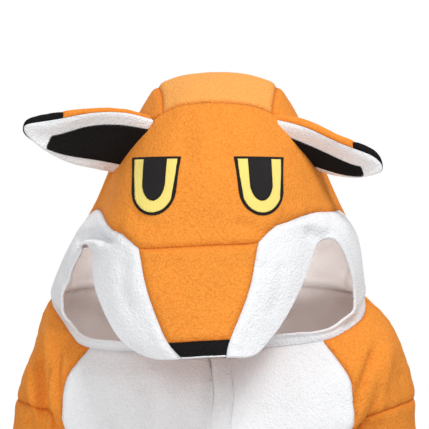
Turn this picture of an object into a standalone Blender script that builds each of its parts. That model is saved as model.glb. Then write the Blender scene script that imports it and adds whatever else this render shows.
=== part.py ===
"""Fox onesie, adult size M: a hollow fleece costume with a fox hood, worn and standing.

Metres, +Z up, front towards -Y, wearer's left towards +X.  The origin is between the
shoulders, level with the top of the sleeves, where the wearer holds the garment up.
"""
import math

import bmesh
import bpy
import numpy as np
from mathutils import Vector
from mathutils.bvhtree import BVHTree

# Driving sizes
CLOTH = 0.0022          # fleece wall
LINING = 0.0012         # hood lining wall
EAR_CLOTH = 0.0012      # each layer of an ear
SEAM_GAP = 0.0003       # between neighbouring pieces
APPLIQUE = 0.0010       # eye and nose patches
LEVELS = 1              # subdivision of the cage
HEM_Z = -1.33           # ankle hem
CROTCH_Z = -0.80        # low crotch
SIDES = {"left": 1.0, "right": -1.0}

# Colours (linear), roughness
ORANGE = (1.0, 0.335, 0.048)
ORANGE_LIGHT = (1.0, 0.38, 0.075)
WHITE = (0.86, 0.87, 0.89)
LINING_GREY = (0.60, 0.57, 0.53)
BLACK = (0.010, 0.008, 0.008)
YELLOW = (0.95, 0.78, 0.19)

# The hood, wearer's left half before it sways; one row a line from the centre outward.
# Columns: centre, inner, seam, cheek, brow, edge
HOOD = {
    "nose_hem": [(0, -.222, -.0545), (.013, -.221, -.055), (.0250, -.217, -.0555),
                 (.052, -.203, -.057), (.072, -.188, -.0475)],
    "nose_top": [(0, -.2165, -.0375), (.018, -.2155, -.038), (.0345, -.210, -.0385),
                 (.061, -.196, -.039), (.088, -.175, -.033)],
    "snout_low": [(0, -.2045, -.008), (.024, -.203, -.0085), (.0475, -.196, -.009),
                  (.078, -.180, -.009), (.107, -.152, -.005)],
    "snout_high": [(0, -.190, .028), (.031, -.188, .0275), (.060, -.180, .027),
                   (.093, -.160, .028), (.123, -.123, .032)],
    "snout_top": [(0, -.174, .066), (.037, -.172, .0655), (.067, -.163, .066),
                  (.101, -.138, .0645), (.1295, -.100, .0605)],
    "face_low": [(0, -.163, .095), (.042, -.160, .094), (.074, -.150, .091), (.087, -.141, .083)],
    "eye_low": [(0, -.151, .128), (.040, -.147, .127), (.074, -.134, .123), (.098, -.118, .110),
                (.1195, -.097, .0975)],
    "eye_top": [(0, -.128, .168), (.039, -.124, .167), (.072, -.110, .161), (.100, -.088, .148),
                (.122, -.062, .127), (.138, -.048, .104)],
    "crown_seam": [(0, -.075, .2315), (.035, -.072, .2295), (.064, -.060, .2185),
                   (.098, -.042, .192), (.126, -.022, .150), (.147, -.008, .106)],
    "crown_top": [(0, 0, .2685), (.037, 0, .2655), (.072, .002, .253), (.098, .008, .215),
                  (.128, .015, .158), (.158, .022, .094)],
    "crown_back": [(0, .068, .262), (.037, .067, .258), (.071, .063, .240), (.098, .058, .205),
                   (.130, .052, .142), (.166, .042, .068)],
    "back_high": [(0, .122, .195), (.040, .119, .192), (.075, .110, .178), (.103, .096, .150),
                  (.135, .078, .102), (.171, .049, .045)],
    "back_low": [(0, .138, .105), (.042, .135, .103), (.078, .125, .096), (.110, .107, .080),
                 (.142, .083, .056), (.173, .052, .027)],
}
# The white rim beside the face; one row a line from the free edge outward.  Columns: rim, flank
RIM = {
    "eye_top": [(.143, -.087, .0685), (.148, -.062, .088)],
    "crown_seam": [(.156, -.078, .052), (.160, -.038, .084)],
    "crown_top": [(.166, -.071, .031), (.172, -.022, .064)],
    "crown_back": [(.172, -.067, .010), (.180, -.014, .042)],
    "back_high": [(.172, -.066, -.008), (.186, -.008, .019)],
    "back_low": [(.167, -.069, -.019), (.1885, -.004, .008)],
}
# The rim's free edge under the chin, one point above each front column of the neck
CHIN = {"armhole_front": (.155, -.076, -.028), "bib_edge": (.134, -.0885, -.0395),
        "chest": (.075, -.104, -.044), "centre_front": (0, -.109, -.0475)}

# The body's rings, wearer's left half before it sways.
RING_COLUMNS = ("centre_front", "chest", "bib_edge", "armhole_front", "arm_front", "arm",
                "arm_back", "armhole_back", "blade", "back", "centre_back")
RINGS = {
    "neck": [(0, -.108, -.0585), (.075, -.103, -.054), (.135, -.088, -.049), (.160, -.068, -.037),
             (.179, -.038, -.021), (.189, 0, -.002), (.174, .050, .010), (.145, .078, .0135),
             (.116, .096, .015), (.080, .107, .016), (0, .115, .017)],
    "shoulder": [(0, -.122, -.088), (.078, -.120, -.085), (.155, -.104, -.073),
                 (.181, -.085, -.058), (.200, -.048, -.040), (.2075, 0, -.027),
                 (.200, .055, -.020), (.170, .088, -.022), (.130, .112, -.027),
                 (.070, .127, -.031), (0, .132, -.032)],
    "upper_arm": [(0, -.134, -.125), (.085, -.131, -.121), (.169, -.112, -.104),
                  (.188, -.086, -.088), (.210, -.055, -.075), (.2225, .005, -.068),
                  (.210, .060, -.070), (.180, .092, -.078), (.140, .122, -.087),
                  (.075, .142, -.091), (0, .147, -.092)],
    "armhole": [(0, -.142, -.165), (.088, -.139, -.162), (.168, -.115, -.148),
                (.178, -.086, -.135), (.213, -.072, -.124), (.239, 0, -.118),
                (.216, .065, -.122), (.182, .082, -.135), (.150, .118, -.146),
                (.080, .148, -.151), (0, .154, -.152)],
}
SPINE = (.040, .113, .017)      # one more point at the back of the neck, for the hood's strip
# The ring where trunk and sleeves part; the sleeve keeps the three arm columns
PARTING = {"centre_front": (0, -.146, -.190), "chest": (.084, -.138, -.190),
           "bib_edge": (.145, -.105, -.190), "armhole_front": (.160, -.060, -.190),
           "armpit": (.174, 0, -.190), "armhole_back": (.160, .062, -.190),
           "blade": (.140, .110, -.190), "back": (.075, .145, -.190),
           "centre_back": (0, .156, -.190), "arm_front": (.214, -.072, -.190),
           "arm": (.256, 0, -.190), "arm_back": (.214, .070, -.190)}
# Below it the trunk is two ellipses: height, half width, front and back depth
TRUNK = {"waist": (-.42, .200, .157, .162), "seat": (-.76, .226, .158, .172)}
TRUNK_ANGLES = {"centre_front": -90, "chest": -62, "bib_edge": -42, "armhole_front": -24,
                "armpit": 0, "armhole_back": 24, "blade": 42, "back": 66, "centre_back": 90}
# Sleeve and leg rings: centre x, y, z, half width, half depth
SLEEVE = {"bicep": (.2725, -.004, -.255, .050, .063), "elbow": (.308, -.016, -.385, .053, .061),
          "forearm": (.334, -.036, -.50, .047, .052), "cuff": (.356, -.052, -.60, .041, .044)}
SLEEVE_ANGLES = {"armhole_front": -120, "arm_front": -60, "arm": 0, "arm_back": 60,
                 "armhole_back": 120, "armpit": 180}
LEG = {"thigh": (.132, .006, -.92, .104, .126), "knee": (.138, .004, -1.10, .092, .104),
       "ankle": (.142, .006, HEM_Z, .074, .080)}
LEG_ANGLES = {"centre_front": -150, "chest": -113, "bib_edge": -72, "armhole_front": -36,
              "armpit": 0, "armhole_back": 36, "blade": 72, "back": 113, "centre_back": 150,
              "crotch": 180}

# Ears, already in place.  Each row: top edge, low edge, where the dark patch starts and ends
# between them (0 to 1), how far the front sinks and how far the back stands off.
EAR_COLUMNS = ("top", "patch_high", "patch_low", "low", "back_low", "back_high")
EARS = {
    "left": [((.067, -.065, .2125), (.138, -.034, .146), .18, .90, -.009, .019),
             ((.108, -.080, .206), (.149, -.052, .142), .46, .93, .004, .028),
             ((.137, -.088, .189), (.164, -.064, .140), .60, .93, .012, .018),
             ((.1655, -.091, .178), (.182, -.077, .1405), .78, .92, .008, .015),
             ((.189, -.091, .169), (.197, -.083, .144), .50, .80, .002, .017)],
    "right": [((-.064, -.064, .2095), (-.115, -.030, .1465), .02, .94, -.008, .018),
              ((-.095, -.080, .219), (-.135, -.052, .1505), .06, .93, .008, .022),
              ((-.135, -.088, .2175), (-.165, -.064, .157), .15, .93, .012, .018),
              ((-.161, -.091, .2135), (-.190, -.077, .172), .74, .93, .008, .015),
              ((-.201, -.091, .205), (-.209, -.083, .188), .50, .80, .002, .017)],
}
EAR_TIPS = {"left": (.2085, -.085, .154), "right": (-.2163, -.085, .203)}
EAR_CREST = .0145       # how far the ear's back rises above its top edge
EAR_CLEAR = .0045       # between the ear's base and the hood it is sewn to

# Eyes: centre x, top, half width, height, splay of the lower end, border and pupil
EYE_X, EYE_TOP, EYE_HALF, EYE_HEIGHT, EYE_SPLAY = .0585, .1655, .0280, .0660, .004
EYE_STRAIGHT = .55      # share of the eye's height with straight sides
EYE_BORDER, PUPIL_HALF, PUPIL_HEIGHT = .0034, .0130, .0470
EYE_OUT = Vector((0, -.95, .31)).normalized()
PATCH_GAP = .0005       # between a patch and what it lies on

# Fly band on the left bib
FLY_WIDTH, FLY_START, FLY_END = .025, -.075, -.745


def smooth(value, start, end):
    """Ease from 0 at start to 1 at end."""
    t = np.clip((value - start) / (end - start), 0.0, 1.0)
    return t * t * (3.0 - 2.0 * t)


def sway(point):
    """The worn garment is not even: the hood leans left, the muzzle hangs right and rolled."""
    x, y, z = point
    front = smooth(-y, .06, .15) * smooth(z, -.075, -.045)
    lean = .0115 * smooth(z, -.005, .10) * (1.0 - smooth(-y, .05, .13))
    body = .009 * smooth(-z, .03, .10) * (1.0 - smooth(-z, .25, .60))
    beside_bib = smooth(abs(x), .10, .15) * (1.0 - smooth(abs(x), .175, .20))
    body *= 1.0 - beside_bib * smooth(-y, .07, .10)
    body += .008 * smooth(abs(x), .15, .20) * smooth(-z, .0, .026) * (1.0 - smooth(-z, .05, .12))
    muzzle = -.0095 * front * (1.0 - smooth(z, .075, .14))
    roll = math.radians(3.0) * smooth(-y, .04, .12) * (1.0 - smooth(z, .10, .24))
    roll *= smooth(z, -.075, -.045)
    return (x + lean + body + muzzle, y, z + roll * x)


class Cage:
    """The coarse cage of the whole garment, each face labelled with the piece it belongs to."""

    def __init__(self):
        self.points = []
        self.index = {}
        self.faces = []
        self.labels = []

    def add(self, name, point):
        """Add a named point on both sides, or once on the centre plane."""
        for side, sign in SIDES.items():
            if abs(point[0]) < 1e-9 and side == "right":
                self.index[name, side] = self.index[name, "left"]
                continue
            self.index[name, side] = len(self.points)
            self.points.append(sway((point[0] * sign, point[1], point[2])))

    def face(self, piece, *names):
        """Add a face on both sides; names run anticlockwise seen from outside on the left."""
        for side in SIDES:
            corners = [self.index[name, side] for name in names]
            self.faces.append(corners if side == "left" else corners[::-1])
            self.labels.append(piece.format(side=side))

    def strip(self, upper, lower, pieces):
        """Faces between two lines of names; pieces is one name or one a face."""
        for k in range(len(upper) - 1):
            piece = pieces if isinstance(pieces, str) else pieces[k]
            self.face(piece, upper[k], lower[k], lower[k + 1], upper[k + 1])


def ring_point(centre_x, centre_y, z, half_width, half_depth, degrees):
    """A point of a flat elliptical ring; 0 degrees is the outer side, -90 the front."""
    angle = math.radians(degrees)
    return (centre_x + half_width * math.cos(angle), centre_y + half_depth * math.sin(angle), z)


def add_points(cage):
    """Put every table's points into the cage."""
    columns = ("centre", "inner", "seam", "cheek", "brow", "edge")
    for row, points in HOOD.items():
        for column, point in zip(columns, points):
            cage.add(f"{row}.{column}", point)
    for row, (rim, flank) in RIM.items():
        cage.add(f"{row}.rim", rim)
        cage.add(f"{row}.flank", flank)
    for column, point in CHIN.items():
        cage.add(f"chin.{column}", point)
    for row, points in RINGS.items():
        for column, point in zip(RING_COLUMNS, points):
            cage.add(f"{row}.{column}", point)
    for row, (z, half, front, back) in TRUNK.items():
        for column, degrees in TRUNK_ANGLES.items():
            point = ring_point(0, 0, z, half, front if degrees < 0 else back, degrees)
            cage.add(f"{row}.{column}", (0 if abs(degrees) == 90 else point[0], *point[1:]))
    for row, (x, y, z, half, depth) in SLEEVE.items():
        for column, degrees in SLEEVE_ANGLES.items():
            cage.add(f"{row}.{column}", ring_point(x, y, z, half, depth, degrees))
    for row, (x, y, z, half, depth) in LEG.items():
        for column, degrees in LEG_ANGLES.items():
            cage.add(f"{row}.{column}", ring_point(x, y, z, half, depth, degrees))
    for column, point in PARTING.items():
        cage.add(f"parting.{column}", point)
    cage.add("seat.crotch", (0, 0, CROTCH_Z))
    cage.add("neck.spine", SPINE)


def line(row, *columns):
    """Names of a row's points."""
    return [f"{row}.{column}" for column in columns]


def add_hood(cage):
    """Faces of the hood: muzzle, face, crown strip, sides and white rim."""
    cheek = "hood_cheek_{side}"
    muzzle = ("centre", "inner", "seam", "cheek", "brow")
    rows = ("snout_top", "snout_high", "snout_low", "nose_top", "nose_hem")
    for upper, lower in zip(rows, rows[1:]):
        top = "nose" if lower == "nose_hem" else "hood_snout"
        cage.strip(line(upper, *muzzle), line(lower, *muzzle), [top, top, cheek, cheek])
    cage.strip(line("face_low", "centre", "inner", "seam"),
               line("snout_top", "centre", "inner", "seam"), "hood_face")
    cage.face("hood_face", "face_low.seam", "snout_top.seam", "face_low.cheek")
    cage.strip(line("eye_low", "centre", "inner", "seam", "cheek"),
               line("face_low", "centre", "inner", "seam", "cheek"), "hood_face")
    cage.face("hood_face", "eye_low.cheek", "face_low.cheek", "eye_low.brow")
    cage.strip(line("eye_top", *muzzle), line("eye_low", *muzzle), "hood_face")
    cage.face("hood_face", "eye_top.brow", "eye_low.brow", "eye_top.edge")
    full = muzzle + ("edge",)
    cage.strip(line("crown_seam", *full), line("eye_top", *full), "hood_face")
    rows = ("crown_seam", "crown_top", "crown_back", "back_high", "back_low")
    side = "hood_side_{side}"
    across = ["hood_crown", "hood_crown", side, side + ".lined", side + ".lined"]
    for lower, upper in zip(rows, rows[1:]):
        cage.strip(line(upper, *full), line(lower, *full), across)
    nape = line("neck", "centre_back", "spine", "back", "blade", "armhole_back", "arm_back")
    cage.strip(nape, line("back_low", *full), across)
    cage.face(cheek, "face_low.cheek", "snout_top.seam", "snout_top.cheek")
    cage.face(cheek, "eye_low.brow", "face_low.cheek", "snout_top.cheek", "snout_top.brow")
    cheek += ".rim"
    cage.face(cheek, "eye_low.brow", "snout_top.brow", "eye_top.rim", "eye_top.flank")
    cage.face(cheek, "eye_low.brow", "eye_top.flank", "eye_top.edge")
    rows = ("eye_top",) + rows
    for upper, lower in zip(rows, rows[1:]):
        cage.strip(line(upper, "rim", "flank", "edge"), line(lower, "rim", "flank", "edge"), cheek)
    cage.strip(line("back_low", "rim", "flank", "edge"), line("neck", "arm_front", "arm", "arm_back"),
               cheek)
    rim = line("chin", "centre_front", "chest", "bib_edge", "armhole_front") + ["back_low.rim"]
    cage.strip(rim, line("neck", "centre_front", "chest", "bib_edge", "armhole_front", "arm_front"),
               cheek)


def add_body(cage):
    """Faces of the trunk, sleeves and legs."""
    bib, front, back = "bib_{side}", "front_{side}", "back_{side}"
    sleeve = "sleeve_{side}"
    pieces = [bib, bib, front, front, front, back, back, back, back, back]
    cage.strip(line("neck", *RING_COLUMNS[:-1]), line("shoulder", *RING_COLUMNS[:-1]), pieces)
    cage.face(back, "neck.back", "shoulder.back", "neck.spine")
    cage.face(back, "neck.spine", "shoulder.back", "shoulder.centre_back", "neck.centre_back")
    rows = ("shoulder", "upper_arm", "armhole")
    for upper, lower in zip(rows, rows[1:]):
        cage.strip(line(upper, *RING_COLUMNS), line(lower, *RING_COLUMNS), pieces)
    pieces[3:7] = [sleeve] * 4
    cage.strip(line("armhole", *RING_COLUMNS), line("parting", *RING_COLUMNS), pieces)
    trunk = list(TRUNK_ANGLES)
    pieces = [bib, bib, front, front, back, back, back, back]
    for upper, lower in zip(["parting"] + list(TRUNK), TRUNK):
        cage.strip(line(upper, *trunk), line(lower, *trunk), pieces)
    around = list(SLEEVE_ANGLES) + ["armhole_front"]
    for upper, lower in zip(["parting"] + list(SLEEVE), SLEEVE):
        cage.strip(line(upper, *around), line(lower, *around), sleeve)
    around = list(LEG_ANGLES) + ["centre_front"]
    pieces = [front] * 4 + [back] * 5 + [front]
    for upper, lower in zip(["seat"] + list(LEG), LEG):
        cage.strip(line(upper, *around), line(lower, *around), pieces)


def subdivided(points, faces, labels, levels):
    """Limit surface of the cage: points, faces and a label for each face."""
    names = sorted(set(labels))
    mesh = bpy.data.meshes.new("cage")
    mesh.from_pydata([tuple(point) for point in points], [], faces)
    for name in names:
        mesh.materials.append(bpy.data.materials.get(name) or bpy.data.materials.new(name))
    mesh.polygons.foreach_set("material_index", [names.index(label) for label in labels])
    cage = bpy.data.objects.new("cage", mesh)
    bpy.context.scene.collection.objects.link(cage)
    subsurf = cage.modifiers.new("Subdivision", "SUBSURF")
    subsurf.levels = subsurf.render_levels = levels
    evaluated = cage.evaluated_get(bpy.context.evaluated_depsgraph_get())
    smooth_mesh = evaluated.to_mesh()
    found = np.array([vertex.co[:] for vertex in smooth_mesh.vertices])
    polygons = [tuple(polygon.vertices) for polygon in smooth_mesh.polygons]
    marks = [names[polygon.material_index] for polygon in smooth_mesh.polygons]
    evaluated.to_mesh_clear()
    bpy.data.objects.remove(cage)
    bpy.data.meshes.remove(mesh)
    return found, polygons, marks


def fitted(cage, levels, rounds=4):
    """Subdivide a cage whose surface passes through the tables' points."""
    target = np.array(cage.points)
    points = target.copy()
    for _ in range(rounds):
        surface = subdivided(points, cage.faces, cage.labels, 1)[0]
        points += .8 * (target - surface[:len(target)])
    return subdivided(points, cage.faces, cage.labels, levels)


def ear_cage(side):
    """Cage of one ear: a flattened sock, open at its base."""
    points, faces, labels = [], [], []
    for top, low, high, end, sink, stand in EARS[side]:
        top, low = Vector(top), Vector(low)
        behind = Vector((SIDES[side] * .45, .89, 0))
        crest = top + behind * stand + Vector((0, 0, EAR_CREST))
        points += [top, top.lerp(low, high) + behind * sink, top.lerp(low, end) + behind * min(sink, 0),
                   low, top.lerp(low, .70) + behind * (sink + stand), crest]
    tip = len(points)
    points.append(Vector(EAR_TIPS[side]))
    around, rows = len(EAR_COLUMNS), len(EARS[side])
    for row in range(rows):
        for k in range(around):
            a, b = row * around + k, row * around + (k + 1) % around
            if row < rows - 1:
                faces.append([a, a + around, b + around, b])
            else:
                faces.append([a, tip, b])
            if k < 3:
                labels.append(f"ear_front_{side}" + (".patch" if k == 1 and row < 3 else ""))
            else:
                labels.append(f"ear_tip_{side}" if row > 2 else f"ear_back_{side}")
    if side == "left":
        faces = [face[::-1] for face in faces]
    return points, faces, labels


def thickness_vectors(points, faces, least=.6):
    """For each point the way out of the cloth, longer where the cloth bends sharply."""
    flat = np.zeros((len(faces), 3))
    for k, face in enumerate(faces):
        corners = points[list(face)]
        flat[k] = np.cross(corners[2] - corners[0], corners[-1] - corners[1])
    total = np.zeros_like(points)
    for face, normal in zip(faces, flat):
        total[list(face)] += normal
    total /= np.linalg.norm(total, axis=1)[:, None]
    flat /= np.linalg.norm(flat, axis=1)[:, None]
    cosine, count = np.zeros(len(points)), np.zeros(len(points))
    for face, normal in zip(faces, flat):
        cosine[list(face)] += total[list(face)] @ normal
        count[list(face)] += 1
    return total / np.clip(cosine / count, least, 1.0)[:, None]


def triangles(points, faces, labels):
    """Split every quad along its shorter diagonal."""
    parts, marks = [], []
    for face, label in zip(faces, labels):
        if len(face) == 4:
            first, second = points[face[0]] - points[face[2]], points[face[1]] - points[face[3]]
            if np.dot(first, first) > np.dot(second, second):
                face = face[1:] + face[:1]
            parts += [face[:3], face[2:] + face[:1]]
            marks += [label, label]
        else:
            parts.append(face)
            marks.append(label)
    return parts, marks


def inset(points, normals, faces, distance):
    """Points of one piece with its open edges drawn in by a distance."""
    edges = {}
    for face in faces:
        for a, b in zip(face, face[1:] + face[:1]):
            edges[a, b] = True
    border = [edge for edge in edges if edge[::-1] not in edges]
    inward = {}
    for a, b in border:
        for vertex in (a, b):
            direction = np.cross(normals[vertex], points[b] - points[a])
            inward.setdefault(vertex, []).append(direction / np.linalg.norm(direction))
    moved = points.copy()
    for vertex, directions in inward.items():
        total = sum(directions)
        moved[vertex] += distance * total * len(directions) / max(np.dot(total, total), .5)
    return moved, border


def wall(name, points, normals, faces, thickness, depth=0.0):
    """A closed wall on the given faces, its outer skin at a depth below the surface."""
    moved, border = inset(points, normals, faces, SEAM_GAP / 2)
    used = sorted({vertex for face in faces for vertex in face})
    place = {vertex: k for k, vertex in enumerate(used)}
    count = len(used)
    outer = moved[used] - normals[used] * depth
    inner = outer - normals[used] * thickness
    skins = [[place[v] for v in face] for face in faces]
    skins += [[place[v] + count for v in reversed(face)] for face in faces]
    for a, b in border:
        low, high = place[a], place[b]
        corners = [high, low, low + count, high + count]
        first = 1 if a < b else 0       # both walls of a seam fold along the same diagonal
        corners = corners[first:] + corners[:first]
        skins += [corners[:3], corners[2:] + corners[:1]]
    mesh = bpy.data.meshes.new(name)
    mesh.from_pydata(np.vstack([outer, inner]).tolist(), [], skins)
    mesh.validate()
    return add_object(name, mesh)


def material(name, colour, roughness=0.9):
    """A plain cloth material."""
    made = bpy.data.materials.get(name) or bpy.data.materials.new(name)
    made.use_nodes = True
    shader = made.node_tree.nodes["Principled BSDF"]
    shader.inputs["Base Color"].default_value = (*colour, 1.0)
    shader.inputs["Roughness"].default_value = roughness
    shader.inputs["Metallic"].default_value = 0.0
    return made


def colour_of(name):
    """The fleece colour of a piece."""
    if name.startswith(("nose", "ear_tip", "ear_patch", "eye_outline", "eye_pupil")):
        return BLACK
    if name.startswith("eye_yellow"):
        return YELLOW
    if name.startswith("hood_lining"):
        return LINING_GREY
    if name.startswith(("hood_cheek", "bib", "placket", "ear_front")):
        return WHITE
    return ORANGE_LIGHT if name == "hood_crown" else ORANGE


def add_object(name, mesh):
    """Link a finished piece into the garment's collection."""
    mesh.materials.clear()
    mesh.materials.append(material(name, colour_of(name)))
    piece = bpy.data.objects.new(name, mesh)
    bpy.data.collections["fox_onesie"].objects.link(piece)
    return piece


def labelled(faces, labels, *starts):
    """Faces whose label starts with one of the given names."""
    return [face for face, label in zip(faces, labels) if label.startswith(starts)]


def build_shell(points, normals, faces, labels):
    """One wall for each piece of the garment, and the lining where it shows."""
    for name in sorted({label.split(".")[0] for label in labels}):
        wall(name, points, normals, labelled(faces, labels, name), CLOTH)
    for side in SIDES:
        covered = labelled(faces, labels, f"hood_cheek_{side}.rim", f"hood_side_{side}.lined")
        wall(f"hood_lining_{side}", points, normals, covered, LINING, CLOTH + SEAM_GAP)


def build_ear(hood, side):
    """The ear's two layers, its black back tip and the dark patch on its front."""
    points, faces, labels = ear_cage(side)
    points, faces, labels = subdivided(points, faces, labels, LEVELS)
    for point in points:
        nearest, outward, _, _ = hood.find_nearest(Vector(point))
        short = EAR_CLEAR - (Vector(point) - nearest).dot(outward)
        point += np.array(outward) * max(short, 0)
    normals = thickness_vectors(points, faces, .3)
    faces, labels = triangles(points, faces, labels)
    for name in sorted({label.split(".")[0] for label in labels}):
        wall(name, points, normals, labelled(faces, labels, name), EAR_CLOTH)
    patch = [face for face, label in zip(faces, labels) if label.endswith(".patch")]
    wall(f"ear_patch_{side}", points, normals, patch, APPLIQUE, -APPLIQUE - SEAM_GAP)


def patch(name, points, faces, outline, out, depth):
    """A thin wall cut from a surface inside a convex outline of (x, z), moved straight out."""
    cut = bmesh.new()
    corners = [cut.verts.new(point) for point in points]
    for face in faces:
        cut.faces.new([corners[vertex] for vertex in face])
    for (x, z), (next_x, next_z) in zip(outline, outline[1:] + outline[:1]):
        everything = cut.verts[:] + cut.edges[:] + cut.faces[:]
        bmesh.ops.bisect_plane(cut, geom=everything, dist=1e-6, plane_co=(x, 0, z),
                               plane_no=(next_z - z, 0, x - next_x), clear_outer=True)
    cut.verts.index_update()
    found = np.array([vertex.co[:] for vertex in cut.verts])
    kept = [[vertex.index for vertex in face.verts] for face in cut.faces]
    cut.free()
    way = np.tile(np.array(out), (len(found), 1))
    wall(name, found, way, kept, APPLIQUE, -APPLIQUE - depth)


def eye_outline(side, half, top, height):
    """A U with a flat top, anticlockwise from its top right corner, as (x, z) points."""
    sign = SIDES[side]
    points = []
    for degrees in range(0, 181, 30):
        angle = math.radians(degrees)
        drop = height * (EYE_STRAIGHT + (1 - EYE_STRAIGHT) * math.sin(angle))
        points.append((half * math.cos(angle), top - drop))
    points = [(half, top)] + points + [(-half, top)]
    shift = EYE_SPLAY / EYE_HEIGHT
    outline = [(sign * (EYE_X + shift * (EYE_TOP - z)) + x, z) for x, z in points]
    return outline[::-1]


def build_eye(points, faces, side):
    """Black outline patch, yellow patch on it, black pupil on that."""
    step = APPLIQUE + PATCH_GAP
    inner = EYE_TOP - EYE_BORDER
    sizes = {"outline": (EYE_HALF, EYE_TOP, EYE_HEIGHT),
             "yellow": (EYE_HALF - EYE_BORDER, inner, EYE_HEIGHT - 2 * EYE_BORDER),
             "pupil": (PUPIL_HALF, inner, PUPIL_HEIGHT)}
    for layer, (name, (half, top, height)) in enumerate(sizes.items()):
        patch(f"eye_{name}_{side}", points, faces, eye_outline(side, half, top, height), EYE_OUT,
              PATCH_GAP + layer * step)


def build_fly(points, faces):
    """The band that covers the front closing, on the left bib."""
    start = sway((0, 0, FLY_START))[0] + SEAM_GAP
    end = start + FLY_WIDTH
    outline = [(start, FLY_END), (end, FLY_END), (end, FLY_START), (start, FLY_START)]
    patch("placket", points, faces, outline, Vector((0, -1, 0)), PATCH_GAP)


def main():
    """Build every piece."""
    for item in list(bpy.data.objects):
        bpy.data.objects.remove(item)
    collection = bpy.data.collections.new("fox_onesie")
    bpy.context.scene.collection.children.link(collection)
    cage = Cage()
    add_points(cage)
    add_hood(cage)
    add_body(cage)
    points, faces, labels = fitted(cage, LEVELS)
    normals = thickness_vectors(points, faces)
    faces, labels = triangles(points, faces, labels)
    build_shell(points, normals, faces, labels)
    surface = BVHTree.FromPolygons([Vector(point) for point in points], faces)
    for side in SIDES:
        build_ear(surface, side)
        build_eye(points, labelled(faces, labels, "hood_face"), side)
    build_fly(points, labelled(faces, labels, "bib_left"))


main()
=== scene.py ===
"""Looks of the fox onesie: fleece panels, lining, ears, embroidered eyes, fly and stage."""

import math
import random

import bmesh
import bpy
import numpy as np
from bpy.props import FloatProperty, FloatVectorProperty, IntProperty, PointerProperty
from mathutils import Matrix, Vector, noise
from mathutils.bvhtree import BVHTree
from mathutils.kdtree import KDTree


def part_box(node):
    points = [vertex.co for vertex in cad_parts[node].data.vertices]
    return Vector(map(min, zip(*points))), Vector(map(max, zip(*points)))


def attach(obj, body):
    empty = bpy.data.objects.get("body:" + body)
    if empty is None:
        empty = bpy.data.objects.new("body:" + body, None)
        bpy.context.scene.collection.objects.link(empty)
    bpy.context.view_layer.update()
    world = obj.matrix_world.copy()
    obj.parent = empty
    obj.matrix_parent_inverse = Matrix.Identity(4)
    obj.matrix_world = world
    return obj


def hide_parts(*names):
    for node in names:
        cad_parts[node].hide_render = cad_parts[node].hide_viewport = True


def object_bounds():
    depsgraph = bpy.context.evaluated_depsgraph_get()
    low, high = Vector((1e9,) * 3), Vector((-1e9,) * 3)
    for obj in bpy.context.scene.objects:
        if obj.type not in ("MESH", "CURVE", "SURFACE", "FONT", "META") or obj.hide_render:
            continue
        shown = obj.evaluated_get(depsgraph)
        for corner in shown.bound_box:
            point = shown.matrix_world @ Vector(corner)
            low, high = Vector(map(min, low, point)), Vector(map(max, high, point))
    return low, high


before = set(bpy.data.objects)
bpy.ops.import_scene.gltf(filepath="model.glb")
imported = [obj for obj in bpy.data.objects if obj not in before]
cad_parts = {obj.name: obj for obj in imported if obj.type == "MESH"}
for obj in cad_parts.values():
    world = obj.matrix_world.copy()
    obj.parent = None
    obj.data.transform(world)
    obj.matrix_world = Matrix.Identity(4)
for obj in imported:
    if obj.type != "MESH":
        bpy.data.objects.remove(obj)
CAD_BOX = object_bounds()

bl_info = {
    "name": "Fox onesie",
    "version": (1, 0, 0),
    "blender": (4, 5, 0),
    "location": "View3D > Sidebar > Onesie",
    "description": "Sews the fleece, lining, ears, eyes and stitches of a hooded fox costume",
    "category": "Object",
}

# Metres, +Z up, front towards -Y, wearer's left towards +X
SIDES = {"left": 1.0, "right": -1.0}
HEM_Z = -1.33           # ankle hem
CROTCH_Z = -0.80        # low crotch
GAP = 0.0003            # between neighbouring pieces
MUZZLE_Y = -0.115       # in front of this the opening's edge is turned without topstitching

# The hood, wearer's left half before it sways; one row a line from the centre outward.
# Columns: centre, inner, seam, cheek, brow, edge
HOOD = {
    "nose_hem": [(0, -.222, -.0545), (.013, -.221, -.055), (.0250, -.217, -.0555),
                 (.052, -.203, -.057), (.072, -.188, -.0475)],
    "nose_top": [(0, -.2165, -.0375), (.018, -.2155, -.038), (.0345, -.210, -.0385),
                 (.061, -.196, -.039), (.088, -.175, -.033)],
    "snout_low": [(0, -.2045, -.008), (.024, -.203, -.0085), (.0475, -.196, -.009),
                  (.078, -.180, -.009), (.107, -.152, -.005)],
    "snout_high": [(0, -.190, .028), (.031, -.188, .0275), (.060, -.180, .027),
                   (.093, -.160, .028), (.123, -.123, .032)],
    "snout_top": [(0, -.174, .066), (.037, -.172, .0655), (.067, -.163, .066),
                  (.101, -.138, .0645), (.1295, -.100, .0605)],
    "face_low": [(0, -.163, .095), (.042, -.160, .094), (.074, -.150, .091), (.087, -.141, .083)],
    "eye_low": [(0, -.151, .128), (.040, -.147, .127), (.074, -.134, .123), (.098, -.118, .110),
                (.1195, -.097, .0975)],
    "eye_top": [(0, -.128, .168), (.039, -.124, .167), (.072, -.110, .161), (.100, -.088, .148),
                (.122, -.062, .127), (.138, -.048, .104)],
    "crown_seam": [(0, -.075, .2315), (.035, -.072, .2295), (.064, -.060, .2185),
                   (.098, -.042, .192), (.126, -.022, .150), (.147, -.008, .106)],
    "crown_top": [(0, 0, .2685), (.037, 0, .2655), (.072, .002, .253), (.098, .008, .215),
                  (.128, .015, .158), (.158, .022, .094)],
    "crown_back": [(0, .068, .262), (.037, .067, .258), (.071, .063, .240), (.098, .058, .205),
                   (.130, .052, .142), (.166, .042, .068)],
    "back_high": [(0, .122, .195), (.040, .119, .192), (.075, .110, .178), (.103, .096, .150),
                  (.135, .078, .102), (.171, .049, .045)],
    "back_low": [(0, .138, .105), (.042, .135, .103), (.078, .125, .096), (.110, .107, .080),
                 (.142, .083, .056), (.173, .052, .027)],
}
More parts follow.
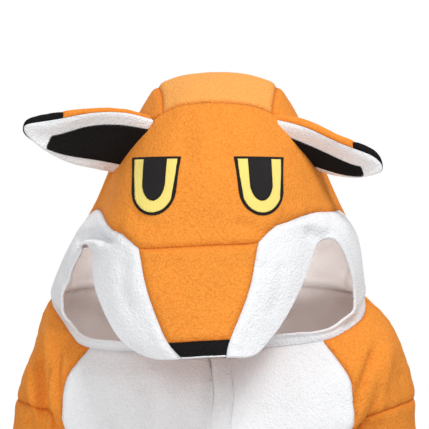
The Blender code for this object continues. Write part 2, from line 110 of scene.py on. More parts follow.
# The white rim beside the face; one row a line from the free edge outward.  Columns: rim, flank
RIM = {
    "eye_top": [(.143, -.087, .0685), (.148, -.062, .088)],
    "crown_seam": [(.156, -.078, .052), (.160, -.038, .084)],
    "crown_top": [(.166, -.071, .031), (.172, -.022, .064)],
    "crown_back": [(.172, -.067, .010), (.180, -.014, .042)],
    "back_high": [(.172, -.066, -.008), (.186, -.008, .019)],
    "back_low": [(.167, -.069, -.019), (.1885, -.004, .008)],
}
# The rim's free edge under the chin, one point above each front column of the neck
CHIN = {"armhole_front": (.155, -.076, -.028), "bib_edge": (.134, -.0885, -.0395),
        "chest": (.075, -.104, -.044), "centre_front": (0, -.109, -.0475)}

# The body's rings, wearer's left half before it sways.
RING_COLUMNS = ("centre_front", "chest", "bib_edge", "armhole_front", "arm_front", "arm",
                "arm_back", "armhole_back", "blade", "back", "centre_back")
RINGS = {
    "neck": [(0, -.108, -.0585), (.075, -.103, -.054), (.135, -.088, -.049), (.160, -.068, -.037),
             (.179, -.038, -.021), (.189, 0, -.002), (.174, .050, .010), (.145, .078, .0135),
             (.116, .096, .015), (.080, .107, .016), (0, .115, .017)],
    "shoulder": [(0, -.122, -.088), (.078, -.120, -.085), (.155, -.104, -.073),
                 (.181, -.085, -.058), (.200, -.048, -.040), (.2075, 0, -.027),
                 (.200, .055, -.020), (.170, .088, -.022), (.130, .112, -.027),
                 (.070, .127, -.031), (0, .132, -.032)],
    "upper_arm": [(0, -.134, -.125), (.085, -.131, -.121), (.169, -.112, -.104),
                  (.188, -.086, -.088), (.210, -.055, -.075), (.2225, .005, -.068),
                  (.210, .060, -.070), (.180, .092, -.078), (.140, .122, -.087),
                  (.075, .142, -.091), (0, .147, -.092)],
    "armhole": [(0, -.142, -.165), (.088, -.139, -.162), (.168, -.115, -.148),
                (.178, -.086, -.135), (.213, -.072, -.124), (.239, 0, -.118),
                (.216, .065, -.122), (.182, .082, -.135), (.150, .118, -.146),
                (.080, .148, -.151), (0, .154, -.152)],
}
SPINE = (.040, .113, .017)      # one more point at the back of the neck, for the hood's strip
# The ring where trunk and sleeves part; the sleeve keeps the three arm columns
PARTING = {"centre_front": (0, -.146, -.190), "chest": (.084, -.138, -.190),
           "bib_edge": (.145, -.105, -.190), "armhole_front": (.160, -.060, -.190),
           "armpit": (.174, 0, -.190), "armhole_back": (.160, .062, -.190),
           "blade": (.140, .110, -.190), "back": (.075, .145, -.190),
           "centre_back": (0, .156, -.190), "arm_front": (.214, -.072, -.190),
           "arm": (.256, 0, -.190), "arm_back": (.214, .070, -.190)}
# Below it the trunk is two ellipses: height, half width, front and back depth
TRUNK = {"waist": (-.42, .200, .157, .162), "seat": (-.76, .226, .158, .172)}
TRUNK_ANGLES = {"centre_front": -90, "chest": -62, "bib_edge": -42, "armhole_front": -24,
                "armpit": 0, "armhole_back": 24, "blade": 42, "back": 66, "centre_back": 90}
# Sleeve and leg rings: centre x, y, z, half width, half depth
SLEEVE = {"bicep": (.2725, -.004, -.255, .050, .063), "elbow": (.308, -.016, -.385, .053, .061),
          "forearm": (.334, -.036, -.50, .047, .052), "cuff": (.356, -.052, -.60, .041, .044)}
SLEEVE_ANGLES = {"armhole_front": -120, "arm_front": -60, "arm": 0, "arm_back": 60,
                 "armhole_back": 120, "armpit": 180}
LEG = {"thigh": (.132, .006, -.92, .104, .126), "knee": (.138, .004, -1.10, .092, .104),
       "ankle": (.142, .006, HEM_Z, .074, .080)}
LEG_ANGLES = {"centre_front": -150, "chest": -113, "bib_edge": -72, "armhole_front": -36,
              "armpit": 0, "armhole_back": 36, "blade": 72, "back": 113, "centre_back": 150,
              "crotch": 180}

# Ears, already in place.  Each row: top edge, low edge, where the dark patch starts and ends
# between them (0 to 1), how far the front sinks and how far the back stands off.
EAR_COLUMNS = ("top", "patch_high", "patch_low", "low", "back_low", "back_high")
EARS = {
    "left": [((.067, -.065, .2125), (.138, -.034, .146), .18, .90, -.009, .019),
             ((.108, -.080, .206), (.149, -.052, .142), .46, .93, .004, .028),
             ((.137, -.088, .189), (.164, -.064, .140), .60, .93, .012, .018),
             ((.1655, -.091, .178), (.182, -.077, .1405), .78, .92, .008, .015),
             ((.189, -.091, .169), (.197, -.083, .144), .50, .80, .002, .017)],
    "right": [((-.064, -.064, .2095), (-.115, -.030, .1465), .02, .94, -.008, .018),
              ((-.095, -.080, .219), (-.135, -.052, .1505), .06, .93, .008, .022),
              ((-.135, -.088, .2175), (-.165, -.064, .157), .15, .93, .012, .018),
              ((-.161, -.091, .2135), (-.190, -.077, .172), .74, .93, .008, .015),
              ((-.201, -.091, .205), (-.209, -.083, .188), .50, .80, .002, .017)],
}
EAR_TIPS = {"left": (.2085, -.085, .154), "right": (-.2163, -.085, .203)}
EAR_CREST = .0145       # how far the ear's back rises above its top edge
FLY_RISE = .0120        # how far the fly band may run up towards the neck seam
FLY_STEP = .0032        # between the fly band's rows of points
EAR_SUNK = .0025        # how deep the ear's base is caught in the hood's seam
EAR_PATCH = .8          # thickness of the ear's dark patch, as a share of the ear's cloth
ZIGZAG = .0013          # half width of the stitches round it
APPLIQUE = .0006        # thickness of each layer of an eye
PUPIL_BORDER = .0016    # width of the stitched border round a pupil
BINDING = .0013         # radius of the cord that closes the edge under the nose
FLOOR_DROP = .004       # the floor lies this far below the hems

# Creases and folds, listed one by one.  Columns: pieces, the side they are seen from, half width,
# height (a trough is below zero) and the path, as (x, z) from the front or the back
BODY = ("front", "sleeve", "back")
CREASES = [
    # the right shoulder, crumpled into long folds towards the sleeve
    (BODY, "front", .0066, -.0130, [(-.199, -.050), (-.196, -.080), (-.195, -.110), (-.193, -.150)]),
    (BODY, "front", .0070, .0072, [(-.187, -.030), (-.184, -.070), (-.181, -.105), (-.177, -.145)]),
    (BODY, "front", .0062, -.0085, [(-.173, -.048), (-.174, -.085), (-.175, -.120), (-.176, -.160)]),
    (BODY, "front", .0070, .0058, [(-.207, -.075), (-.206, -.105), (-.206, -.135)]),
    (BODY, "front", .0050, -.0030, [(-.163, -.040), (-.158, -.058), (-.157, -.075)]),
    (BODY, "front", .0062, -.0072, [(-.222, -.105), (-.212, -.125), (-.206, -.150)]),
    # the left shoulder: one long crease from the hood down beside the bib
    (BODY, "front", .0072, -.0085,
     [(.200, -.044), (.190, -.070), (.180, -.094), (.172, -.125), (.168, -.150)]),
    (BODY, "front", .0090, .0060, [(.213, -.048), (.206, -.080), (.200, -.110), (.196, -.145)]),
    (BODY, "front", .0060, -.0030, [(.226, -.080), (.229, -.110), (.231, -.145)]),
    # the hood's right side, where the brow is pushed in above the opening
    (("hood_cheek",), "front", .0052, -.0105,
     [(-.154, .064), (-.144, .0745), (-.126, .0750), (-.106, .0690)]),
    (("hood_cheek",), "front", .0060, .0065, [(-.146, .058), (-.134, .0660), (-.118, .0640)]),
    (("hood_cheek",), "front", .0060, -.0030, [(-.168, .040), (-.166, .010), (-.170, -.010)]),
    (("hood_cheek", "hood_face"), "front", .0060, .0022, [(.104, .090), (.122, .0880), (.140, .0840)]),
    (("hood_cheek",), "front", .0070, -.0025, [(.112, .080), (.128, .0740), (.142, .0680)]),
    (("hood_cheek",), "front", .0080, -.0022, [(-.092, .052), (-.096, .020), (-.084, -.015)]),
    (("hood_cheek",), "front", .0080, -.0020, [(.084, .050), (.082, .018), (.066, -.018)]),
    # the face, softly pulled down by the muzzle
    (("hood_face",), "front", .0110, -.0022, [(-.020, .206), (-.026, .180), (-.022, .150)]),
    (("hood_face",), "front", .0100, -.0018, [(.020, .200), (.022, .175), (.016, .145)]),
    (("hood_face",), "front", .0110, .0016, [(-.002, .200), (-.004, .160), (-.002, .120)]),
    (("hood_face",), "front", .0065, -.0032, [(.030, .092), (.048, .0860), (.064, .0760)]),
    (("hood_face",), "front", .0080, -.0022, [(-.088, .108), (-.070, .0920), (-.052, .0850)]),
    (("hood_face",), "front", .0090, .0018, [(.074, .104), (.096, .1040), (.116, .1000)]),
    (("hood_face",), "front", .0070, -.0024, [(.098, .180), (.112, .1560), (.126, .1300)]),
    (("hood_snout",), "front", .0100, -.0016, [(-.044, .052), (-.030, .028), (-.028, .000)]),
    (("hood_snout",), "front", .0100, -.0014, [(.034, .050), (.026, .024), (.014, -.006)]),
    # the bib beside the fly
    (("bib",), "front", .0060, .0026, [(-.007, -.066), (-.008, -.105), (-.007, -.150), (-.006, -.220)]),
    (("bib",), "front", .0045, -.0030, [(.002, -.066), (.003, -.105), (.002, -.150), (.003, -.220)]),
    (("bib",), "front", .0100, -.0030, [(.060, -.080), (.052, -.120), (.056, -.190)]),
    (("bib",), "front", .0110, -.0028, [(-.070, -.085), (-.060, -.125), (-.064, -.200)]),
    # the hood's back and sides
    (("hood_side", "hood_cheek"), "back", .0100, -.0050, [(.110, .110), (.130, .080), (.150, .055)]),
    (("hood_side", "hood_cheek"), "back", .0100, -.0045, [(-.104, .125), (-.120, .090), (-.134, .062)]),
    (("hood_crown", "hood_side"), "back", .0110, -.0050, [(-.060, .075), (-.015, .062), (.040, .070)]),
    (("hood_crown", "hood_side"), "back", .0090, -.0040, [(-.030, .042), (.020, .036), (.080, .046)]),
    (("hood_crown",), "back", .0120, -.0030, [(.020, .220), (.030, .170), (.020, .120)]),
]


def hidden_folds():
    """Folds like the ones in front for the trunk, sleeves and legs; the same on every run."""
    draw = random.Random(11)

    def jitter(size):
        return draw.uniform(-size, size)

    rows = []
    for view in ("front", "back"):
        for k in range(9):                      # long soft folds down the trunk
            x = -.170 + .0425 * k + jitter(.012)
            top, low = -.215 + jitter(.03), -.62 + jitter(.10)
            drift = jitter(.03)
            height = (.0095 if k % 2 else -.0115) * draw.uniform(.7, 1.15)
            path = [(x, top), (x + .4 * drift, .6 * top + .4 * low), (x + drift, low)]
            rows.append((("bib", "front", "back"), view, .014, height, path))
        for sign in SIDES.values():
            for k in range(3):                  # pulled in from the armpit
                start = (sign * (.165 - .012 * k), -.225 - .045 * k + jitter(.008))
                end = (sign * (.060 + .025 * k), -.300 - .070 * k + jitter(.02))
                middle = ((start[0] + end[0]) / 2, (start[1] + end[1]) / 2 - .012)
                rows.append((("bib", "front", "back"), view, .010, -.0095, [start, middle, end]))
            for k in range(4):                  # fanned out from the low crotch
                end = (sign * (.050 + .046 * k), -.640 - .050 * k + jitter(.02))
                start = (sign * (.012 + .006 * k), -.790)
                middle = ((start[0] + end[0]) / 2, (start[1] + end[1]) / 2 - .015)
                rows.append((("bib", "front", "back"), view, .011, -.0115 + .0020 * k,
                             [start, middle, end]))
            for k in range(3):                  # down the inside of the thigh
                x = sign * (.060 + .045 * k)
                path = [(x, -.86), (x + sign * .006, -.95 + jitter(.02)), (x + jitter(.01), -1.03)]
                rows.append((("front", "back"), view, .011, -.0090, path))
            for k in range(5):                  # slack across the knee and stacked at the ankle
                z = (-1.060, -1.110, -1.205, -1.248, -1.288)[k] + jitter(.010)
                tilt = jitter(.022)
                reach = .060 if k < 2 else .072
                path = [(sign * .140 - reach, z - tilt), (sign * .140, z - .008),
                        (sign * .140 + reach, z + tilt)]
                rows.append((("front", "back"), view, .0085, -.0095 if k < 2 else -.0110, path))
            for k in range(6):                  # elbow and cuff of the sleeve
                z = (-.265, -.345, -.380, -.415, -.520, -.560)[k] + jitter(.006)
                x = sign * np.interp(-z, [.255, .385, .50, .60], [.2725, .308, .334, .356])
                slope = sign * (.018 if k < 4 else .006) * draw.uniform(.6, 1.3)
                path = [(x - .040, z + slope), (x, z - .004), (x + .040, z - slope)]
                rows.append((("sleeve",), view, .0078, -.0095 if k % 2 else -.0075, path))
    return rows


# ---------------------------------------------------------------- pattern

def smooth(value, start, end):
    """Ease from 0 at start to 1 at end."""
    t = np.clip((value - start) / (end - start), 0.0, 1.0)
    return t * t * (3.0 - 2.0 * t)


def sway(point):
    """The worn garment is not even: the hood leans left, the muzzle hangs right and rolled."""
    x, y, z = point
    front = smooth(-y, .06, .15) * smooth(z, -.075, -.045)
    lean = .0115 * smooth(z, -.005, .10) * (1.0 - smooth(-y, .05, .13))
    body = .009 * smooth(-z, .03, .10) * (1.0 - smooth(-z, .25, .60))
    beside_bib = smooth(abs(x), .10, .15) * (1.0 - smooth(abs(x), .175, .20))
    body *= 1.0 - beside_bib * smooth(-y, .07, .10)
    body += .008 * smooth(abs(x), .15, .20) * smooth(-z, .0, .026) * (1.0 - smooth(-z, .05, .12))
    muzzle = -.0095 * front * (1.0 - smooth(z, .075, .14))
    roll = math.radians(3.0) * smooth(-y, .04, .12) * (1.0 - smooth(z, .10, .24))
    roll *= smooth(z, -.075, -.045)
    return (x + lean + body + muzzle, y, z + roll * x)


class Cage:
    """The coarse cage of the whole garment, each face labelled with the piece it belongs to."""

    def __init__(self):
        self.points = []
        self.index = {}
        self.faces = []
        self.labels = []

    def add(self, name, point):
        """Add a named point on both sides, or once on the centre plane."""
        for side, sign in SIDES.items():
            if abs(point[0]) < 1e-9 and side == "right":
                self.index[name, side] = self.index[name, "left"]
                continue
            self.index[name, side] = len(self.points)
            self.points.append(sway((point[0] * sign, point[1], point[2])))

    def face(self, piece, *names):
        """Add a face on both sides; names run anticlockwise seen from outside on the left."""
        for side in SIDES:
            corners = [self.index[name, side] for name in names]
            self.faces.append(corners if side == "left" else corners[::-1])
            self.labels.append(piece.format(side=side))

    def strip(self, upper, lower, pieces):
        """Faces between two lines of names; pieces is one name or one a face."""
        for k in range(len(upper) - 1):
            piece = pieces if isinstance(pieces, str) else pieces[k]
            self.face(piece, upper[k], lower[k], lower[k + 1], upper[k + 1])


def ring_point(centre_x, centre_y, z, half_width, half_depth, degrees):
    """A point of a flat elliptical ring; 0 degrees is the outer side, -90 the front."""
    angle = math.radians(degrees)
    return (centre_x + half_width * math.cos(angle), centre_y + half_depth * math.sin(angle), z)


def add_points(cage):
    """Put every table's points into the cage."""
    columns = ("centre", "inner", "seam", "cheek", "brow", "edge")
    for row, points in HOOD.items():
        for column, point in zip(columns, points):
            cage.add(f"{row}.{column}", point)
    for row, (rim, flank) in RIM.items():
        cage.add(f"{row}.rim", rim)
        cage.add(f"{row}.flank", flank)
    for column, point in CHIN.items():
        cage.add(f"chin.{column}", point)
    for row, points in RINGS.items():
        for column, point in zip(RING_COLUMNS, points):
            cage.add(f"{row}.{column}", point)
    for row, (z, half, front, back) in TRUNK.items():
        for column, degrees in TRUNK_ANGLES.items():
            point = ring_point(0, 0, z, half, front if degrees < 0 else back, degrees)
            cage.add(f"{row}.{column}", (0 if abs(degrees) == 90 else point[0], *point[1:]))
    for row, (x, y, z, half, depth) in SLEEVE.items():
        for column, degrees in SLEEVE_ANGLES.items():
            cage.add(f"{row}.{column}", ring_point(x, y, z, half, depth, degrees))
    for row, (x, y, z, half, depth) in LEG.items():
        for column, degrees in LEG_ANGLES.items():
            cage.add(f"{row}.{column}", ring_point(x, y, z, half, depth, degrees))
    for column, point in PARTING.items():
        cage.add(f"parting.{column}", point)
    cage.add("seat.crotch", (0, 0, CROTCH_Z))
    cage.add("neck.spine", SPINE)


def line(row, *columns):
    """Names of a row's points."""
    return [f"{row}.{column}" for column in columns]


def add_hood(cage):
    """Faces of the hood: muzzle, face, crown strip, sides and white rim."""
    cheek = "hood_cheek_{side}"
    muzzle = ("centre", "inner", "seam", "cheek", "brow")
    rows = ("snout_top", "snout_high", "snout_low", "nose_top", "nose_hem")
    for upper, lower in zip(rows, rows[1:]):
        top = "nose" if lower == "nose_hem" else "hood_snout"
        cage.strip(line(upper, *muzzle), line(lower, *muzzle), [top, top, cheek, cheek])
    cage.strip(line("face_low", "centre", "inner", "seam"),
               line("snout_top", "centre", "inner", "seam"), "hood_face")
    cage.face("hood_face", "face_low.seam", "snout_top.seam", "face_low.cheek")
    cage.strip(line("eye_low", "centre", "inner", "seam", "cheek"),
               line("face_low", "centre", "inner", "seam", "cheek"), "hood_face")
    cage.face("hood_face", "eye_low.cheek", "face_low.cheek", "eye_low.brow")
    cage.strip(line("eye_top", *muzzle), line("eye_low", *muzzle), "hood_face")
    cage.face("hood_face", "eye_top.brow", "eye_low.brow", "eye_top.edge")
    full = muzzle + ("edge",)
    cage.strip(line("crown_seam", *full), line("eye_top", *full), "hood_face")
    rows = ("crown_seam", "crown_top", "crown_back", "back_high", "back_low")
    side = "hood_side_{side}"
    across = ["hood_crown", "hood_crown", side, side + ".lined", side + ".lined"]
    for lower, upper in zip(rows, rows[1:]):
        cage.strip(line(upper, *full), line(lower, *full), across)
    nape = line("neck", "centre_back", "spine", "back", "blade", "armhole_back", "arm_back")
    cage.strip(nape, line("back_low", *full), across)
    cage.face(cheek, "face_low.cheek", "snout_top.seam", "snout_top.cheek")
    cage.face(cheek, "eye_low.brow", "face_low.cheek", "snout_top.cheek", "snout_top.brow")
    cheek += ".rim"
    cage.face(cheek, "eye_low.brow", "snout_top.brow", "eye_top.rim", "eye_top.flank")
    cage.face(cheek, "eye_low.brow", "eye_top.flank", "eye_top.edge")
    rows = ("eye_top",) + rows
    for upper, lower in zip(rows, rows[1:]):
        cage.strip(line(upper, "rim", "flank", "edge"), line(lower, "rim", "flank", "edge"), cheek)
    cage.strip(line("back_low", "rim", "flank", "edge"), line("neck", "arm_front", "arm", "arm_back"),
               cheek)
    rim = line("chin", "centre_front", "chest", "bib_edge", "armhole_front") + ["back_low.rim"]
    cage.strip(rim, line("neck", "centre_front", "chest", "bib_edge", "armhole_front", "arm_front"),
               cheek)


def add_body(cage):
    """Faces of the trunk, sleeves and legs."""
    bib, front, back = "bib_{side}", "front_{side}", "back_{side}"
    sleeve = "sleeve_{side}"
    pieces = [bib, bib, front, front, front, back, back, back, back, back]
    cage.strip(line("neck", *RING_COLUMNS[:-1]), line("shoulder", *RING_COLUMNS[:-1]), pieces)
    cage.face(back, "neck.back", "shoulder.back", "neck.spine")
    cage.face(back, "neck.spine", "shoulder.back", "shoulder.centre_back", "neck.centre_back")
    rows = ("shoulder", "upper_arm", "armhole")
    for upper, lower in zip(rows, rows[1:]):
        cage.strip(line(upper, *RING_COLUMNS), line(lower, *RING_COLUMNS), pieces)
    pieces[3:7] = [sleeve] * 4
    cage.strip(line("armhole", *RING_COLUMNS), line("parting", *RING_COLUMNS), pieces)
    trunk = list(TRUNK_ANGLES)
    pieces = [bib, bib, front, front, back, back, back, back]
    for upper, lower in zip(["parting"] + list(TRUNK), TRUNK):
        cage.strip(line(upper, *trunk), line(lower, *trunk), pieces)
    around = list(SLEEVE_ANGLES) + ["armhole_front"]
    for upper, lower in zip(["parting"] + list(SLEEVE), SLEEVE):
        cage.strip(line(upper, *around), line(lower, *around), sleeve)
    around = list(LEG_ANGLES) + ["centre_front"]
    pieces = [front] * 4 + [back] * 5 + [front]
    for upper, lower in zip(["seat"] + list(LEG), LEG):
        cage.strip(line(upper, *around), line(lower, *around), pieces)


def subdivided(points, faces, labels, levels):
    """Limit surface of the cage: points, faces and a label for each face."""
    names = sorted(set(labels))
    mesh = bpy.data.meshes.new("cage")
    mesh.from_pydata([tuple(point) for point in points], [], faces)
    for name in names:
        mesh.materials.append(bpy.data.materials.get(name) or bpy.data.materials.new(name))
    mesh.polygons.foreach_set("material_index", [names.index(label) for label in labels])
    cage = bpy.data.objects.new("cage", mesh)
    bpy.context.scene.collection.objects.link(cage)
    subsurf = cage.modifiers.new("Subdivision", "SUBSURF")
    subsurf.levels = subsurf.render_levels = levels
    evaluated = cage.evaluated_get(bpy.context.evaluated_depsgraph_get())
    smooth_mesh = evaluated.to_mesh()
    found = np.array([vertex.co[:] for vertex in smooth_mesh.vertices])
    polygons = [tuple(polygon.vertices) for polygon in smooth_mesh.polygons]
    marks = [names[polygon.material_index] for polygon in smooth_mesh.polygons]
    evaluated.to_mesh_clear()
    bpy.data.objects.remove(cage)
    bpy.data.meshes.remove(mesh)
    return found, polygons, marks


def fitted(cage, levels, rounds=4):
    """Subdivide a cage whose surface passes through the tables' points."""
    target = np.array(cage.points)
    points = target.copy()
    for _ in range(rounds):
        surface = subdivided(points, cage.faces, cage.labels, 1)[0]
        points += .8 * (target - surface[:len(target)])
    return subdivided(points, cage.faces, cage.labels, levels)


def ear_cage(side):
    """Cage of one ear: a flattened sock, open at its base."""
    points, faces, labels = [], [], []
    for top, low, high, end, sink, stand in EARS[side]:
        top, low = Vector(top), Vector(low)
        behind = Vector((SIDES[side] * .45, .89, 0))
        crest = top + behind * stand + Vector((0, 0, EAR_CREST))
        points += [top, top.lerp(low, high) + behind * sink, top.lerp(low, end) + behind * min(sink, 0),
                   low, top.lerp(low, .70) + behind * (sink + stand), crest]
    tip = len(points)
    points.append(Vector(EAR_TIPS[side]))
    around, rows = len(EAR_COLUMNS), len(EARS[side])
    for row in range(rows):
        for k in range(around):
            a, b = row * around + k, row * around + (k + 1) % around
            if row < rows - 1:
                faces.append([a, a + around, b + around, b])
            else:
                faces.append([a, tip, b])
            if k < 3:
                labels.append(f"ear_front_{side}" + (".patch" if k == 1 and row < 3 else ""))
            else:
                labels.append(f"ear_tip_{side}" if row > 2 else f"ear_back_{side}")
    if side == "left":
        faces = [face[::-1] for face in faces]
    return points, faces, labels


# ---------------------------------------------------------------- cloth surfaces

def settings():
    """The garment's sizes and colours."""
    return bpy.context.scene.onesie


def normals_of(points, quads):
    """Unit normal of every point."""
    flat = np.cross(points[quads[:, 2]] - points[quads[:, 0]], points[quads[:, 3]] - points[quads[:, 1]])
    total = np.zeros_like(points)
    for corner in range(4):
        for axis in range(3):
            total[:, axis] += np.bincount(quads[:, corner], flat[:, axis], len(points))
    return total / np.maximum(np.linalg.norm(total, axis=1), 1e-12)[:, None]


def open_edges(quads):
    """Directed edges of the quads that no other of them shares."""
    edges = np.stack([quads, np.roll(quads, -1, axis=1)], axis=2).reshape(-1, 2)
    most = quads.max() + 1
    alone = ~np.isin(edges[:, 0] * most + edges[:, 1], edges[:, 1] * most + edges[:, 0])
    return edges[alone]


def nearest_of(points, marked):
    """For every point, the closest of the marked points and how far it is."""
    tree = KDTree(len(marked))
    for k, vertex in enumerate(marked):
        tree.insert(points[vertex], k)
    tree.balance()
    found = [tree.find(point) for point in points]
    return np.array([spot[0][:] for spot in found]), np.array([spot[2] for spot in found])


def bell(distance, width):
    """A soft bump of the given half width."""
    return np.exp(-(distance / width) ** 2)


def uneven(points, size, seed):
    """Smooth noise between about -1 and 1, with lumps of the given size."""
    shift = Vector((seed, 2.3 * seed, -seed))
    return np.array([noise.noise(Vector(point) / size + shift) for point in points])


def smooth_path(path, steps=8):
    """A Catmull-Rom curve through the path's points, in two dimensions."""
    knots = np.array([path[0]] + list(path) + [path[-1]], float)
    places = []
    for a, b, c, d in zip(knots, knots[1:], knots[2:], knots[3:]):
        for t in np.linspace(0, 1, steps, endpoint=False):
            places.append(.5 * (2 * b + (c - a) * t + (2 * a - 5 * b + 4 * c - d) * t ** 2
                                + (3 * b - a - 3 * c + d) * t ** 3))
    return np.array(places + [knots[-1]])


def fold_heights(points, normals, marks, rows):
    """How far the creases and folds lift or sink every point."""
    lifted = np.zeros(len(points))
    for pieces, view, width, height, path in rows:
        outward = -normals[:, 1] if view == "front" else normals[:, 1]
        curve = smooth_path(path)
        low, high = curve.min(0) - 3 * width, curve.max(0) + 3 * width
        flat = points[:, [0, 2]]
        near = np.flatnonzero((flat >= low).all(1) & (flat <= high).all(1) & (outward > .02)
                              & np.isin(marks, [k for k, name in enumerate(PIECE_NAMES)
                                                if name.startswith(tuple(pieces))]))
        best, along = np.full(len(near), 1e9), np.zeros(len(near))
        for k, (start, end) in enumerate(zip(curve, curve[1:])):
            span = end - start
            t = np.clip(((flat[near] - start) @ span) / max(span @ span, 1e-12), 0, 1)
            distance = np.linalg.norm(flat[near] - start - t[:, None] * span, axis=1)
            closer = distance < best
            best[closer], along[closer] = distance[closer], (k + t[closer]) / (len(curve) - 1)
        fade = smooth(along, 0, .22) * (1 - smooth(along, .78, 1)) * smooth(outward[near], .02, .35)
        lifted[near] += height * bell(best, width) * (.15 + .85 * fade)
    return lifted


class Cloth:
    """The fine surface of the garment, or of an ear, with its seams drawn in and its folds."""

    def __init__(self, points, faces, labels):
        self.points, self.quads = np.array(points), np.array(faces)
        self.labels = np.array(labels)
        self.marks = np.array([label.split(".")[0] for label in labels])
        self.normals = normals_of(self.points, self.quads)
        free = open_edges(self.quads)
        borders = [open_edges(self.quads[self.marks == name]) for name in sorted(set(self.marks))]
        self.free = np.unique(free)
        seams = np.setdiff1d(np.unique(np.concatenate(borders)), self.free)
        self.seam_spot, self.seam = nearest_of(self.points, seams)
        self.edge = nearest_of(self.points, self.free)[1]

    def sew(self, groove, pucker, lumps):
        """Draw the seams in, pucker the cloth beside them and make it softly uneven."""
        away = self.seam
        height = -groove * bell(away, .0030) + .35 * groove * bell(away - .0085, .0055)
        ripple = uneven(self.seam_spot, .0085, 3.1) + .6 * uneven(self.seam_spot, .019, 8.7)
        height += pucker * ripple * bell(away, .013) * (1 - .8 * bell(away, .0025))
        height += lumps * (uneven(self.points, .055, 1.7) + .30 * uneven(self.points, .021, 5.2))
        self.lift(height)

    def lift(self, height):
        """Move the points along their normals."""
        self.points = self.points + self.normals * height[:, None]
        self.normals = normals_of(self.points, self.quads)

    def tree(self, *names):
        """Search tree over the given pieces, or over everything."""
        chosen = self.quads[np.isin(self.marks, names)] if names else self.quads
        return BVHTree.FromPolygons(self.points.tolist(), chosen.tolist())

    def shell(self, name, chosen, thickness, depth=0.0):
        """A closed wall on the chosen quads; its edge is round where the cloth ends."""
        quads = self.quads[chosen]
        border = open_edges(quads)
        along = self.points[border[:, 1]] - self.points[border[:, 0]]
        along /= np.linalg.norm(along, axis=1)[:, None]
        inward = np.zeros_like(self.points)
        for end in range(2):
            np.add.at(inward, border[:, end], np.cross(self.normals[border[:, end]], along))
        rim = np.unique(border)
        inward[rim] /= np.maximum(np.linalg.norm(inward[rim], axis=1), 1e-9)[:, None]
        thickness = np.broadcast_to(thickness, len(self.points))[:, None]
        outer = self.points + inward * GAP / 2 - self.normals * depth
        inner = outer - self.normals * thickness
        ends = np.isin(rim, self.free)[:, None]
        middle = (outer + inner)[rim] / 2 - inward[rim] * thickness[rim] * np.where(ends, .42, 0)
        used = np.unique(quads)
        place = np.zeros(len(self.points), int)
        place[used] = np.arange(len(used))
        count = len(used)
        mid = np.zeros(len(self.points), int)
        mid[rim] = 2 * count + np.arange(len(rim))
        a, b = border[:, 0], border[:, 1]
        faces = np.vstack([place[quads], place[quads][:, ::-1] + count,
                           np.stack([place[b], place[a], mid[a], mid[b]], 1),
                           np.stack([mid[b], mid[a], place[a] + count, place[b] + count], 1)])
        points = np.vstack([outer[used], inner[used], middle])
        # near the seams, a weight for the painted shade along them
        seam = bell(np.concatenate([self.seam[used], self.seam[used], self.seam[rim]]), .0035)
        return make_mesh(name, points, faces, seam)


def make_mesh(name, points, faces, seam=None):
    """A smooth-shaded object riding on the garment."""
    mesh = bpy.data.meshes.new(name)
    mesh.from_pydata(np.asarray(points).tolist(), [], [list(face) for face in faces])
    if seam is not None:
        # the seam weight feeds the painted shade along the seams
        layer = mesh.attributes.new("seam", "FLOAT", "POINT")
        layer.data.foreach_set("value", np.asarray(seam, np.float32))
    mesh.shade_smooth()
    piece = bpy.data.objects.new(name, mesh)
    bpy.context.scene.collection.objects.link(piece)
    return piece


def dress(piece, finish, node=None):
    """Give a piece its finish and body, and hide the CAD node it stands for."""
    piece.data.materials.append(finishes()[finish])
    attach(piece, "root")
    if node:
        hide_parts(node)


PIECE_NAMES = []        # pieces of the garment's surface, filled when it is sewn
SHOP = {}               # surfaces that more than one step works on


def finish_of(name):
    """Which cloth a panel of the hood, body or ears is cut from."""
    if name.startswith(("nose", "ear_tip")):
        return "black"
    if name.startswith(("hood_cheek", "bib", "ear_front")):
        return "white"
    return "crown" if name == "hood_crown" else "orange"


def garment():
    """The sewn surface of hood and body, made once."""
    if "garment" in SHOP:
        return SHOP["garment"]
    cage = Cage()
    add_points(cage)
    add_hood(cage)
    add_body(cage)
    cloth = Cloth(*fitted(cage, settings().levels))
    PIECE_NAMES[:] = sorted(set(cloth.marks))
    owner = np.zeros(len(cloth.points), int)
    for k, name in enumerate(PIECE_NAMES):
        owner[np.unique(cloth.quads[cloth.marks == name])] = k
    heights = fold_heights(cloth.points, cloth.normals, owner, CREASES + hidden_folds())
    cloth.lift(heights)
    body = smooth(-cloth.points[:, 2], .06, .20)
    cloth.sew(settings().groove, .0012, .0017 + .0024 * body)
    SHOP["garment"] = cloth
    return cloth


def loops(cloth):
    """The open edges of the cloth as closed loops of points, in order."""
    follow = dict(open_edges(cloth.quads).tolist())
    found = []
    while follow:
        start = vertex = next(iter(follow))
        ring = []
        while vertex in follow:
            ring.append(vertex)
            vertex = follow.pop(vertex)
        if vertex == start:
            found.append(ring)
    return found


def spindle(start, end, up, half):
    """Points and faces of one stitch: a short thread, pointed at both ends."""
    along = end - start
    across = np.cross(along, up)
    across *= half / max(np.linalg.norm(across), 1e-9)
    lift = up * half
    points = [start]
    for share in (.22, .78):
        centre = start + along * share
        points += [centre + across, centre + lift, centre - across, centre - .5 * lift]
    points.append(end)
    faces = []
    for k in range(4):
        after = (k + 1) % 4
        faces += [[0, 1 + after, 1 + k], [1 + k, 1 + after, 5 + after, 5 + k], [5 + k, 5 + after, 9]]
    return points, faces


def thread(name, stitches, half):
    """All stitches of a seam as one object; each is its start, its end and the way up."""
    points, faces = [], []
    for start, end, up in stitches:
        spots, sides = spindle(np.array(start), np.array(end), np.array(up), half)
        faces += [[corner + len(points) for corner in side] for side in sides]
        points += spots
    return make_mesh(name, points, faces)


